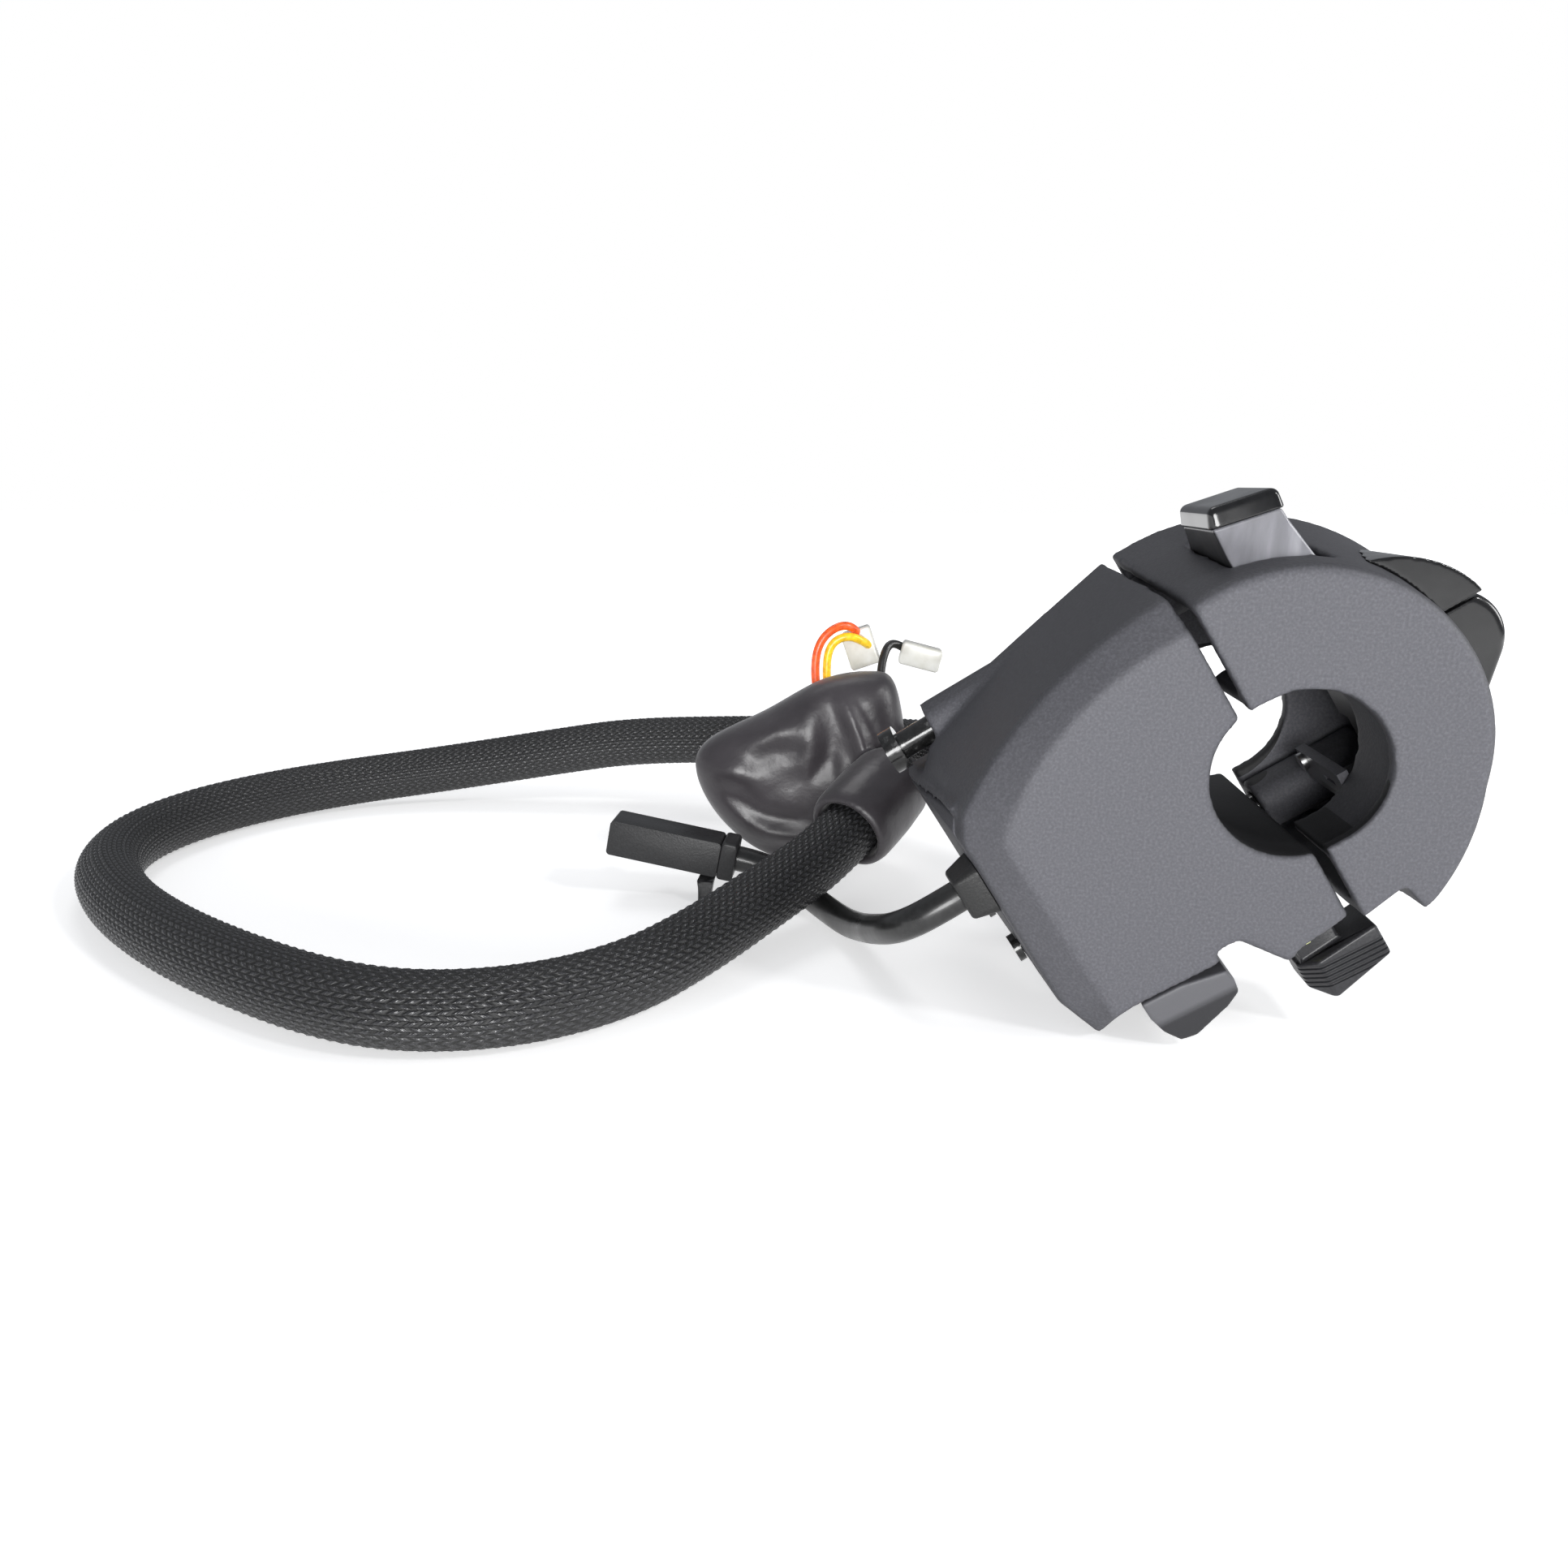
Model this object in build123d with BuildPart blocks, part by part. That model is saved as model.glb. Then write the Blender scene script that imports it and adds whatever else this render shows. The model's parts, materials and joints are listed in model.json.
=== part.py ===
from build123d import *
import math
import os

# Handlebar switch cluster for a 22 mm bar, in millimetres, +Z up
# It lies on a table as in the photograph, with its bar bore along +Y
# The split between its halves is tilted: u runs across the split to the rear half,
# v runs up along the split, and y runs along the bar from the near end face

os.makedirs("parts", exist_ok=True)

# Place of the bore in the frame
split_tilt = 32.5
axis_x = 11.18
near_y = -25.0
axis_height = 41.0

# Bore and split
bar_radius = 11.1
front_setback = 2.6
rear_shift = 1.6
rear_setback = rear_shift - front_setback

# Walls of the two half shells
case_length = 45.0
wall = 2.2
near_wall = 2.4
far_wall = 2.6
saddle_wall = 1.9
cut_over = 2.0
running_gap = 0.3
slide_gap = 0.15
pin_gap = 0.05
seat_gap = 0.02

# Front half: reach to its far corner, height over the bore and depth under it
bevel_depth = 4.0
front_reach = 50.0
front_rise = 32.0
front_drop = 24.0
front_near_shares = ((0, .76), (.41, .69), (.732, .40), (.756, .35), (.742, -.56), (.745, -.80))
front_edge_shares = ((0, .925), (.42, .845), (.826, .535), (.866, .42), (.868, -.64), (.816, -.942))
front_far_shares = ((0, .997), (.45, .872), (.856, .735), (.988, .545), (.984, -.42), (.93, -.575))

# Underside of the front half, from the trigger bay to the split
bay_left_share = 0.672
bay_step_share = 0.412
bay_right_share = 0.34
bay_left = bay_left_share * front_reach
bay_step = bay_step_share * front_reach
bay_right = bay_right_share * front_reach
bay_ceiling = 19.3
bay_notch = 17.5
horn_bump = 12.4
horn_side = 10.4
horn_ceiling = 22.9
horn_rise = 1.3

# Rear half: reach and rise of its near and far outlines
rear_reach = 27.6
rear_rise = 27.6
rear_draft_reach = 36.0
rear_draft_rise = 32.0
rear_near_shares = ((0, 1), (.515, .88), (.95, .22), (.93, -.15), (.74, -.51), (.555, -.735), (.308, -.917))
rear_far_shares = ((0, 1), (.61, .80), (.985, .28), (.99, -.10), (.80, -.55), (.61, -.81), (.33, -.93))
rear_tip = 6.5
rear_tip_drop = 25.8
rear_step = 5.6
rear_step_drop = 21.4
rear_bottom = 22.8
rear_edge_round = 1.6
arch_share = 0.985
liner_radius = bar_radius + 0.9
liner_wall = 1.8
liner_length = 12.6

# Case screws: one at the top, one at the bottom, along u
screw_radius = 2.4
screw_head_radius = 3.9
screw_head_height = 2.6
screw_boss_wall = 2.2
notch_room = 4.4
top_screw_v = 23.2
top_screw_back = 6.0
top_screw_y = case_length - top_screw_back
top_screw_out = 6.2
top_seat_share = 0.816
top_seat_u = top_seat_share * front_reach
top_notch_y = top_screw_y - notch_room
top_notch_v = 18.6
low_screw_v = -16.6
low_screw_back = 7.0
low_screw_y = case_length - low_screw_back
low_seat_share = 0.72
low_seat_u = low_seat_share * front_reach
low_notch_y = low_screw_y - notch_room
low_notch_v = -12.0
screw_reach = 18.0
screw_boss = screw_radius + screw_boss_wall

# Cover plate on the flank of the front half
cover_wall = 2.6
cover_start = 9.5
cover_top = 16.0
cover_bottom = -12.5
cover_gap = 0.15
cover_ledge = 2.6
cover_screw_radius = 1.2
cover_head_radius = 2.3
cover_head_height = 1.15

# Grommet of the clutch lead, on the flank
grommet_v = 4.6
grommet_y = 11.0
grommet_length = 9.5
grommet_height = 8.6
grommet_out = 4.2
grommet_neck = 1.6
grommet_taper = 14.0
lead_radius = 2.5

# Harness relief at the far end
relief_share = 0.804
relief_at = (-relief_share * front_reach, 9.7)
relief_radius = 7.4
relief_length = 5.0
relief_neck = 5.9
braid_radius = 5.9


def across(y):
    """Plane square to the bar, y along the bar, facing the near end."""
    x_dir = (math.cos(math.radians(split_tilt)), 0, math.sin(math.radians(split_tilt)))
    return Plane(origin=(axis_x, near_y + y, axis_height), x_dir=x_dir, z_dir=(0, -1, 0))


def spot(u, v, y):
    """Point in the frame from the place along u, v and y."""
    plane = across(y)
    return plane.from_local_coords(Vector(u, v, 0))


def along_u(u, v=0, y=0):
    """Plane square to u, with local x along the bar and local y along v."""
    return Plane(origin=spot(u, v, y), x_dir=(0, 1, 0), z_dir=across(0).x_dir)


def along_v(v, u=0, y=0):
    """Plane square to v, with local x along u and local y along the bar."""
    return Plane(origin=spot(u, v, y), x_dir=across(0).x_dir, z_dir=across(0).y_dir)


def along_bar(u, v, y):
    """Plane square to the bar with its origin at a place of its own."""
    plane = across(y)
    return Plane(origin=spot(u, v, y), x_dir=plane.x_dir, z_dir=(0, 1, 0))


def blend(first, second, share):
    """Points a share of the way from one outline to another."""
    return [
        (a[0] + (b[0] - a[0]) * share, a[1] + (b[1] - a[1]) * share)
        for a, b in zip(first, second)
    ]


def inset(points, depth):
    """Open outline moved inwards, to its left hand, by a wall's depth."""
    lines = []
    for a, b in zip(points, points[1:]):
        length = math.hypot(b[0] - a[0], b[1] - a[1])
        normal = ((a[1] - b[1]) / length, (b[0] - a[0]) / length)
        lines.append(((a[0] + normal[0] * depth, a[1] + normal[1] * depth), (b[0] - a[0], b[1] - a[1])))
    moved = [lines[0][0]]
    for (p, d), (q, e) in zip(lines, lines[1:]):
        cross = d[0] * e[1] - d[1] * e[0]
        along = ((q[0] - p[0]) * e[1] - (q[1] - p[1]) * e[0]) / cross
        moved.append((p[0] + d[0] * along, p[1] + d[1] * along))
    last, direction = lines[-1]
    moved.append((last[0] + direction[0], last[1] + direction[1]))
    return moved


# Outlines of the front half, from the split at the top round to the split below
def front_points(shares, drop):
    upper = [(-u * front_reach, v * (front_rise if v > 0 else drop)) for u, v in shares]
    upper[0] = (-front_setback, upper[0][1])
    under = [
        (-bay_left, -bay_ceiling),
        (-bay_step, -bay_ceiling),
        (-bay_step, -bay_notch),
        (-bay_right, -bay_notch),
        (-horn_bump, -drop),
        (-horn_side, -horn_ceiling),
        (-front_setback, -horn_ceiling + horn_rise),
    ]
    return upper + under


def front_outline(y):
    near = front_points(front_near_shares, front_drop)
    edge = front_points(front_edge_shares, front_drop)
    far = front_points(front_far_shares, front_drop)
    if y <= bevel_depth:
        return blend(near, edge, y / bevel_depth)
    return blend(edge, far, (y - bevel_depth) / (case_length - bevel_depth))


# Outlines of the rear half, from the split at the top round to the split below
def rear_points(shares, reach, rise, lower):
    upper = [(u * reach, v * rise) for u, v in shares]
    upper[0] = (rear_setback, upper[0][1])
    under = [
        (rear_tip, -rear_tip_drop - lower),
        (rear_step, -rear_step_drop - lower),
        (rear_setback, -rear_bottom - lower),
    ]
    return upper + under


def rear_outline(y):
    near = rear_points(rear_near_shares, rear_reach, rear_rise, 0)
    far = rear_points(rear_far_shares, rear_draft_reach, rear_draft_rise, rear_draft_rise - rear_rise)
    return blend(near, far, y / case_length)


def front_profile(points):
    """Profile of the front half: an arched top, then straight sides."""
    with BuildLine() as edge:
        ThreePointArc(points[0], points[1], points[2])
        Polyline(*points[2:], points[0])
    make_face(edge.edges())


def rear_profile(points):
    """Profile of the rear half: three arcs round the bar, then the stepped underside."""
    with BuildLine() as edge:
        ThreePointArc(points[0], points[1], points[2])
        ThreePointArc(points[2], points[3], points[4])
        ThreePointArc(points[4], points[5], points[6])
        Polyline(*points[6:], points[0])
    make_face(edge.edges())


def case_loft(profile, outline, stations, mode=Mode.ADD):
    """Straight-sided loft through the outlines at some places along the bar."""
    sections = []
    for y, points in zip(stations, outline):
        with BuildSketch(across(y)) as section:
            profile(points)
        sections.append(section.sketch.face())
    loft(sections, ruled=True, mode=mode)


def finish(piece, name):
    """Label a finished piece and write its file."""
    piece.part.label = name
    export_step(piece.part, f"parts/{name}.step")


def box_between(u, v, y, mode=Mode.ADD):
    """Block between two places along u, v and y."""
    with BuildSketch(across(y[1])) as section:
        with Locations(((u[0] + u[1]) / 2, (v[0] + v[1]) / 2)):
            Rectangle(u[1] - u[0], v[1] - v[0])
    extrude(section.sketch, amount=y[1] - y[0], mode=mode)


def rod_along_u(radius, u, v, y, mode=Mode.ADD):
    """Round rod along u from one place to another."""
    with BuildSketch(along_u(u[0], v, y)) as section:
        Circle(radius)
    extrude(section.sketch, amount=u[1] - u[0], mode=mode)


def rod_along_bar(radius, u, v, y, mode=Mode.ADD):
    """Round rod along the bar from one place to another."""
    with BuildSketch(along_bar(u, v, y[0])) as section:
        Circle(radius)
    extrude(section.sketch, amount=y[1] - y[0], mode=mode)


def rod_along_v(radius, u, v, y, mode=Mode.ADD):
    """Round rod along v from one place to another."""
    with BuildSketch(along_v(v[0], u, y)) as section:
        Circle(radius)
    extrude(section.sketch, amount=v[1] - v[0], mode=mode)


# Flank of the front half: a plane that leans out towards the far end
flank_near = -front_edge_shares[4][0] * front_reach
flank_far = -front_far_shares[4][0] * front_reach
flank_run = math.hypot(case_length - bevel_depth, flank_near - flank_far)
flank = Plane(
    origin=spot(flank_near, 0, bevel_depth),
    x_dir=spot(flank_far, 0, case_length) - spot(flank_near, 0, bevel_depth),
    z_dir=(spot(flank_far, 0, case_length) - spot(flank_near, 0, bevel_depth)).cross(
        across(0).y_dir
    ) * -1,
)


def on_flank(run, v, mode, depth, out):
    """Block on the flank, between two places along it and two along v."""
    with BuildSketch(flank.offset(-depth)) as section:
        with Locations(((run[0] + run[1]) / 2, -(v[0] + v[1]) / 2)):
            Rectangle(run[1] - run[0], v[1] - v[0])
    extrude(section.sketch, amount=depth + out, mode=mode)


def rod_on_flank(radius, run, v, depth, mode=Mode.ADD):
    """Round rod square to the flank, from one depth to another."""
    with BuildSketch(flank.offset(depth[0])) as section:
        with Locations((run, -v)):
            Circle(radius)
    extrude(section.sketch, amount=depth[1] - depth[0], mode=mode)


# Front half shell
front_stations = (0, bevel_depth, case_length)
front_hollow = (near_wall, bevel_depth, case_length - far_wall)
front_openings = [inset(front_outline(y), wall) for y in front_hollow]
for points in front_openings:
    points[0] = (-front_setback + cut_over, points[0][1])
    points[-1] = (-front_setback + cut_over, points[-1][1])
cover_run = (cover_start - bevel_depth, flank_run + cut_over)
grommet_middle = grommet_y - bevel_depth
grommet_run = (grommet_middle - grommet_length / 2, grommet_middle + grommet_length / 2)
grommet_v_range = (grommet_v - grommet_height / 2, grommet_v + grommet_height / 2)
neck_run = (grommet_run[0] + grommet_neck, grommet_run[1] - grommet_neck)
neck_v_range = (grommet_v_range[0] + grommet_neck, grommet_v_range[1] - grommet_neck)
window_run = (neck_run[1] + cover_ledge, flank_run - far_wall - cover_ledge)
window_v = (cover_bottom + cover_ledge, cover_top - cover_ledge)
skin = cover_wall + wall

# Pass trigger: a blade under the bay, on an arm that swings about a pin
bay_width = bay_left - bay_step
trigger_share = 0.454
trigger_u = -bay_step - trigger_share * bay_width
trigger_v = -12.7
trigger_pin_radius = 1.25
trigger_boss_radius = 3.0
trigger_start = 0.7
trigger_end = 18.0
arm_start = 4.4
arm_end = 12.4
arm_sides = (3.9, 2.9)
arm_slot_sides = (4.9, 4.5)
arm_u = (trigger_u - arm_sides[0], trigger_u + arm_sides[1])
arm_slot_u = (trigger_u - arm_slot_sides[0], trigger_u + arm_slot_sides[1])
pin_far = 15.6
pin_rib_wall = 2.0

# Horn button: a pad under the case, on a stem that slides along the bar
horn_stem_u = (-10.0, -3.6)
horn_stem_y = (10.6, 14.4)
horn_travel = 2.0
horn_front = 8.0
horn_back = 17.0

cover_screws_at = (
    (window_run[0] + cover_ledge / 5, window_v[0]),
    (window_run[1], window_v[0]),
)
with BuildPart() as front_case:
    case_loft(front_profile, [front_outline(y) for y in front_stations], front_stations)
    case_loft(front_profile, front_openings, front_hollow, Mode.SUBTRACT)
    # Saddle round the bar
    rod_along_bar(bar_radius + saddle_wall, 0, 0, (near_wall, case_length - far_wall))
    # Screw bosses
    rod_along_u(screw_boss, (-top_seat_u, -front_setback), top_screw_v, top_screw_y)
    rod_along_u(screw_boss, (-low_seat_u - wall, -front_setback), low_screw_v, low_screw_y)
    # Ribs that carry the trigger's pin
    for y in (arm_start - pin_rib_wall - slide_gap, pin_far + slide_gap):
        box_between(
            (trigger_u - trigger_boss_radius, trigger_u + trigger_boss_radius),
            (-bay_ceiling + wall / 2, trigger_v + trigger_boss_radius),
            (y, y + pin_rib_wall),
        )
    # Flank wall behind the cover plate
    on_flank(
        (cover_run[0] - wall, flank_run - far_wall), (cover_bottom - wall, cover_top + wall),
        Mode.ADD, skin, -cover_wall / 2,
    )
    # Seats of the screw heads, cut out of the far corners
    box_between(
        (-front_reach - cut_over, -top_seat_u), (top_notch_v, front_rise),
        (top_notch_y, case_length + cut_over), Mode.SUBTRACT,
    )
    box_between(
        (-front_reach - cut_over, -low_seat_u), (-front_rise, low_notch_v),
        (low_notch_y, case_length + cut_over), Mode.SUBTRACT,
    )
    rod_along_u(screw_radius + pin_gap, (-front_reach, 0), top_screw_v, top_screw_y, Mode.SUBTRACT)
    rod_along_u(screw_radius + pin_gap, (-front_reach, 0), low_screw_v, low_screw_y, Mode.SUBTRACT)
    # Recess and window of the cover plate
    on_flank(
        (cover_run[0] - cover_gap, cover_run[1]), (cover_bottom - cover_gap, cover_top + cover_gap),
        Mode.SUBTRACT, cover_wall, cut_over,
    )
    on_flank(window_run, window_v, Mode.SUBTRACT, skin + cut_over, cut_over)
    on_flank(neck_run, neck_v_range, Mode.SUBTRACT, skin + cut_over, cut_over)
    rod_along_bar(
        trigger_pin_radius + seat_gap, trigger_u, trigger_v,
        (near_wall / 2, pin_far + pin_rib_wall + cut_over), Mode.SUBTRACT,
    )
    # Slots of the trigger's arm and the horn's stem
    box_between(
        arm_slot_u, (-front_drop - cut_over, -bay_ceiling + wall + cut_over),
        (arm_start - slide_gap, pin_far + slide_gap), Mode.SUBTRACT,
    )
    box_between(
        (horn_stem_u[0] - running_gap, horn_stem_u[1] + running_gap),
        (-front_drop - cut_over, -horn_ceiling + wall + cut_over),
        (horn_stem_y[0] - running_gap, horn_stem_y[1] + horn_travel + running_gap), Mode.SUBTRACT,
    )
    # Harness hole in the far wall
    rod_along_bar(
        relief_neck + seat_gap, relief_at[0], relief_at[1],
        (case_length - far_wall - cut_over, case_length + cut_over), Mode.SUBTRACT,
    )
    for run, v in cover_screws_at:
        rod_on_flank(cover_screw_radius + seat_gap, run, v, (-skin, cut_over), Mode.SUBTRACT)
    # Bore of the bar, and the split face
    rod_along_bar(bar_radius, 0, 0, (-cut_over, case_length + cut_over), Mode.SUBTRACT)
    box_between(
        (-front_setback, front_reach), (-2 * front_rise, 2 * front_rise),
        (-cut_over, case_length + cut_over), Mode.SUBTRACT,
    )
finish(front_case, "front_case")

# Cover plate, set into the flank
with BuildPart() as front_cover:
    case_loft(front_profile, [front_outline(y) for y in front_stations], front_stations)
    on_flank(
        (cover_run[0], flank_run), (cover_bottom, cover_top), Mode.INTERSECT, cover_wall - seat_gap, cover_wall
    )
    on_flank(
        (neck_run[0], neck_run[1] + slide_gap), (neck_v_range[0] - slide_gap, neck_v_range[1] + slide_gap),
        Mode.SUBTRACT, cover_wall, cut_over,
    )
    for run, v in cover_screws_at:
        rod_on_flank(cover_screw_radius + pin_gap, run, v, (-cover_wall - cut_over, cut_over), Mode.SUBTRACT)
finish(front_cover, "front_cover")

# Grommet of the clutch lead: a flange inside, a neck and a rounded lump outside
with BuildPart() as cable_grommet:
    on_flank(neck_run, neck_v_range, Mode.ADD, skin + seat_gap, seat_gap)
    with BuildSketch(flank.offset(seat_gap)) as lump:
        with Locations((grommet_middle, -grommet_v)):
            RectangleRounded(grommet_length, grommet_height, grommet_neck)
    extrude(lump.sketch, amount=grommet_out, taper=grommet_taper)
    lump_top = cable_grommet.faces().sort_by(lambda f: flank.to_local_coords(f.center()).Z)[-1]
    fillet(lump_top.edges(), grommet_neck / 2)
finish(cable_grommet, "cable_grommet")

# Rear half shell
rear_stations = (0, case_length)
rear_hollow = (near_wall, case_length - far_wall)
rear_openings = []
for y in rear_hollow:
    points = rear_outline(y)
    points.remove(points[-3])
    rear_openings.append(inset(points, -wall))
for points in rear_openings:
    points[0] = (rear_setback - cut_over, points[0][1])
    points[-1] = (rear_setback - cut_over, points[-1][1])

# Dimmer switch: a grey rocker with a black cap, on a pin along the bar
dimmer_pin_u = 13.4
dimmer_pin_v = 17.6
dimmer_pin_radius = 1.25
dimmer_boss_radius = 3.0
dimmer_left = 7.2
dimmer_right = 17.4
dimmer_top_left = 6.9
dimmer_top_right = 15.9
dimmer_base_left = 26.1
dimmer_base_right = 22.6
dimmer_top_left_v = 33.7
dimmer_top_right_v = 31.5
dimmer_front = 7.6
dimmer_front_top = 6.4
dimmer_back = 29.6
dimmer_back_top = 22.5
dimmer_slot_right = 18.9
dimmer_floor = 10.0
dimmer_base_gap = 0.9
dimmer_base_sides = (2.0, 4.4)
crown_fall = 4.0
dimmer_base_v = (dimmer_floor, dimmer_pin_v - dimmer_boss_radius - dimmer_base_gap)
dimmer_base_u = (dimmer_pin_u - dimmer_base_sides[0], dimmer_pin_u + dimmer_base_sides[1])
dimmer_base_y = (dimmer_front - slide_gap / 2, dimmer_back + slide_gap / 2)
cap_wall = 2.9
cap_lip = 0.35
cap_round = 1.1
cap_taper = 8.0


def reach_at(y):
    """How far the rear half reaches out at a place along the bar."""
    return arch_share * (rear_reach + (rear_draft_reach - rear_reach) * y / case_length)


# Turn signal switch: a slider in a track, with a push-to-cancel knob
track_v = (-8.0, 6.4)
track_y = (7.6, 31.4)
track_sink = 2.0
track_u = reach_at(track_y[0]) - track_sink
knob_v = (-7.4, 5.8)
knob_y = (12.6, 25.4)
knob_lift = 2.1
knob_out = 5.3
knob_edge = 1.4
knob_slope = (1.9, 4.0)
knob_crest_v = 1.2
knob_foot = 1.6
knob_round = 1.2
post_y = sum(knob_y) / 2
knob_u = (track_u + knob_lift, reach_at(post_y) + knob_out)
slide_travel = 4.0
cancel_travel = 1.5
post_radius = 1.6
slider_sink = 2.6
slider_depth = 6.4
slider_u = (track_u - slider_sink - slider_depth, track_u - slider_sink)
slider_v = (-4.6, 4.6)
slider_y = (14.6, 23.4)
bezel_y = (11.0, 28.5)
bezel_v = (6.6, 18.4)
bezel_crest_v = 14.2
bezel_fall = 1.0
bezel_shares = (.734, .981, 1.123, .877, .604)
base_wall = 1.2
turn_base_wall = 1.8
base_screw_radius = 1.0
base_screw_head = 1.8
base_screw_reach = 3.6
contact_radius = 0.8
contact_head = 1.5
contact_v = -10.6
turn_base_u = (slider_u[0] - slide_gap - turn_base_wall, slider_u[0] - slide_gap)
turn_post_y = ((7.2, 10.0), (28.0, 30.8))
turn_post_v = 3.0
with BuildPart() as track_block:
    box_between(
        (track_u - wall, rear_draft_reach + cut_over),
        (track_v[0] - wall, track_v[1] + wall),
        (track_y[0] - wall, track_y[1] + wall),
    )
    case_loft(rear_profile, [rear_outline(y) for y in rear_stations], rear_stations, Mode.INTERSECT)
with BuildPart() as rear_case:
    case_loft(rear_profile, [rear_outline(y) for y in rear_stations], rear_stations)
    rim = rear_case.faces().sort_by(Axis.Y)[0].edges().filter_by(GeomType.CIRCLE)
    fillet(rim, rear_edge_round)
    case_loft(rear_profile, rear_openings, rear_hollow, Mode.SUBTRACT)
    # Short saddle behind the near wall
    rod_along_bar(liner_radius + liner_wall, rear_shift, 0, (near_wall, near_wall + liner_length))
    # Screw bosses
    rod_along_u(screw_boss, (rear_setback, screw_reach), top_screw_v, top_screw_y)
    rod_along_u(screw_boss, (rear_setback, screw_reach), low_screw_v, low_screw_y)
    # Ribs that carry the dimmer's pin
    for y in (dimmer_front - pin_rib_wall - slide_gap, dimmer_back + slide_gap):
        box_between(
            (dimmer_pin_u - dimmer_boss_radius, dimmer_pin_u + dimmer_boss_radius),
            (dimmer_base_v[0], rear_outline(y)[0][1] - crown_fall),
            (y, y + pin_rib_wall),
        )
    # Floor of the turn signal's track, and the posts of its contact base
    add(track_block.part)
    for y in turn_post_y:
        box_between((turn_base_u[1] + seat_gap, track_u - wall / 2), (-turn_post_v, turn_post_v), y)
        rod_along_u(
            base_screw_radius + seat_gap, (turn_base_u[0], turn_base_u[1] + base_screw_reach + pin_gap),
            0, sum(y) / 2, Mode.SUBTRACT,
        )
    # Openings of the screws, the dimmer and the turn signal
    for v, y in ((top_screw_v, top_screw_y), (low_screw_v, low_screw_y)):
        rod_along_u(screw_radius + pin_gap, (rear_setback - cut_over, screw_reach - wall), v, y, Mode.SUBTRACT)
    box_between(
        (dimmer_left - running_gap, dimmer_slot_right), (dimmer_pin_v, rear_draft_rise + cut_over),
        (dimmer_front - slide_gap, dimmer_back + slide_gap), Mode.SUBTRACT,
    )
    rod_along_bar(
        dimmer_pin_radius + seat_gap, dimmer_pin_u, dimmer_pin_v,
        (dimmer_front - pin_rib_wall - cut_over, dimmer_back + pin_rib_wall + cut_over), Mode.SUBTRACT,
    )
    box_between((track_u, rear_draft_reach + cut_over), track_v, track_y, Mode.SUBTRACT)
    box_between(
        (slider_u[1], track_u + cut_over), (-post_radius - running_gap, post_radius + running_gap),
        (post_y - post_radius - slide_travel - running_gap, post_y + post_radius + slide_travel + running_gap),
        Mode.SUBTRACT,
    )
    # Bore of the bar: a half round with straight flanks to the split
    rod_along_bar(bar_radius, rear_shift, 0, (-cut_over, near_wall + cut_over / 2), Mode.SUBTRACT)
    rod_along_bar(liner_radius, rear_shift, 0, (near_wall, case_length - far_wall), Mode.SUBTRACT)
    rod_along_bar(bar_radius, rear_shift, 0, (case_length - far_wall - cut_over, case_length + cut_over), Mode.SUBTRACT)
    box_between(
        (rear_setback - cut_over, rear_shift), (-bar_radius, bar_radius),
        (-cut_over, case_length + cut_over), Mode.SUBTRACT,
    )
    box_between(
        (-rear_draft_reach, rear_setback), (-2 * rear_rise, 2 * rear_rise),
        (-cut_over, case_length + cut_over), Mode.SUBTRACT,
    )
finish(rear_case, "rear_case")

# Fairing above the turn signal's knob
bezel_middle = reach_at(sum(bezel_y) / 2)
bezel_points = [(share * bezel_middle, v) for share, v in zip(
    bezel_shares, (bezel_v[1], bezel_crest_v, bezel_v[0], bezel_v[0], bezel_v[1] - bezel_fall)
)]
with BuildPart() as turn_bezel:
    with BuildSketch(across(bezel_y[1])):
        with BuildLine():
            ThreePointArc(*bezel_points[:3])
            Polyline(*bezel_points[2:], bezel_points[0])
        make_face()
    extrude(amount=bezel_y[1] - bezel_y[0])
    case_loft(rear_profile, [rear_outline(y) for y in rear_stations], rear_stations, Mode.SUBTRACT)
finish(turn_bezel, "turn_bezel")

# Slider inside the case, with a well for the knob's post and its spring
turn_spring_length = 1.6
well_floor = slider_u[0] + base_wall
post_end = well_floor + cancel_travel + turn_spring_length
well_radius = post_radius + running_gap / 2
with BuildPart() as turn_slider:
    box_between(slider_u, slider_v, slider_y)
    rod_along_u(well_radius, (well_floor, slider_u[1] + cut_over), 0, post_y, Mode.SUBTRACT)
finish(turn_slider, "turn_slider")
with BuildPart() as turn_knob:
    with BuildSketch(across(knob_y[1])):
        with BuildLine():
            crown = ThreePointArc(
                (knob_u[1] - knob_edge, knob_v[1]), (knob_u[1], knob_crest_v),
                (knob_u[1] - knob_slope[0], knob_v[0] + knob_slope[1]),
            )
            Polyline(
                crown @ 1, (knob_u[0] + knob_foot, knob_v[0]), (knob_u[0], knob_v[0]),
                (knob_u[0], knob_v[1]), crown @ 0,
            )
        make_face()
    extrude(amount=knob_y[1] - knob_y[0])
    ends = turn_knob.faces().sort_by(Axis.Y)
    fillet(ends[0].edges().sort_by(Axis.X)[-3:] + ends[-1].edges().sort_by(Axis.X)[-3:], knob_round)
    rod_along_u(post_radius, (post_end, knob_u[0]), 0, post_y)
finish(turn_knob, "turn_knob")
with BuildPart() as turn_spring:
    rod_along_u(post_radius - pin_gap, (well_floor + cancel_travel + pin_gap, post_end), 0, post_y)
    rod_along_u(post_radius / 2, (well_floor, post_end), 0, post_y, Mode.SUBTRACT)
finish(turn_spring, "turn_spring")

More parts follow.
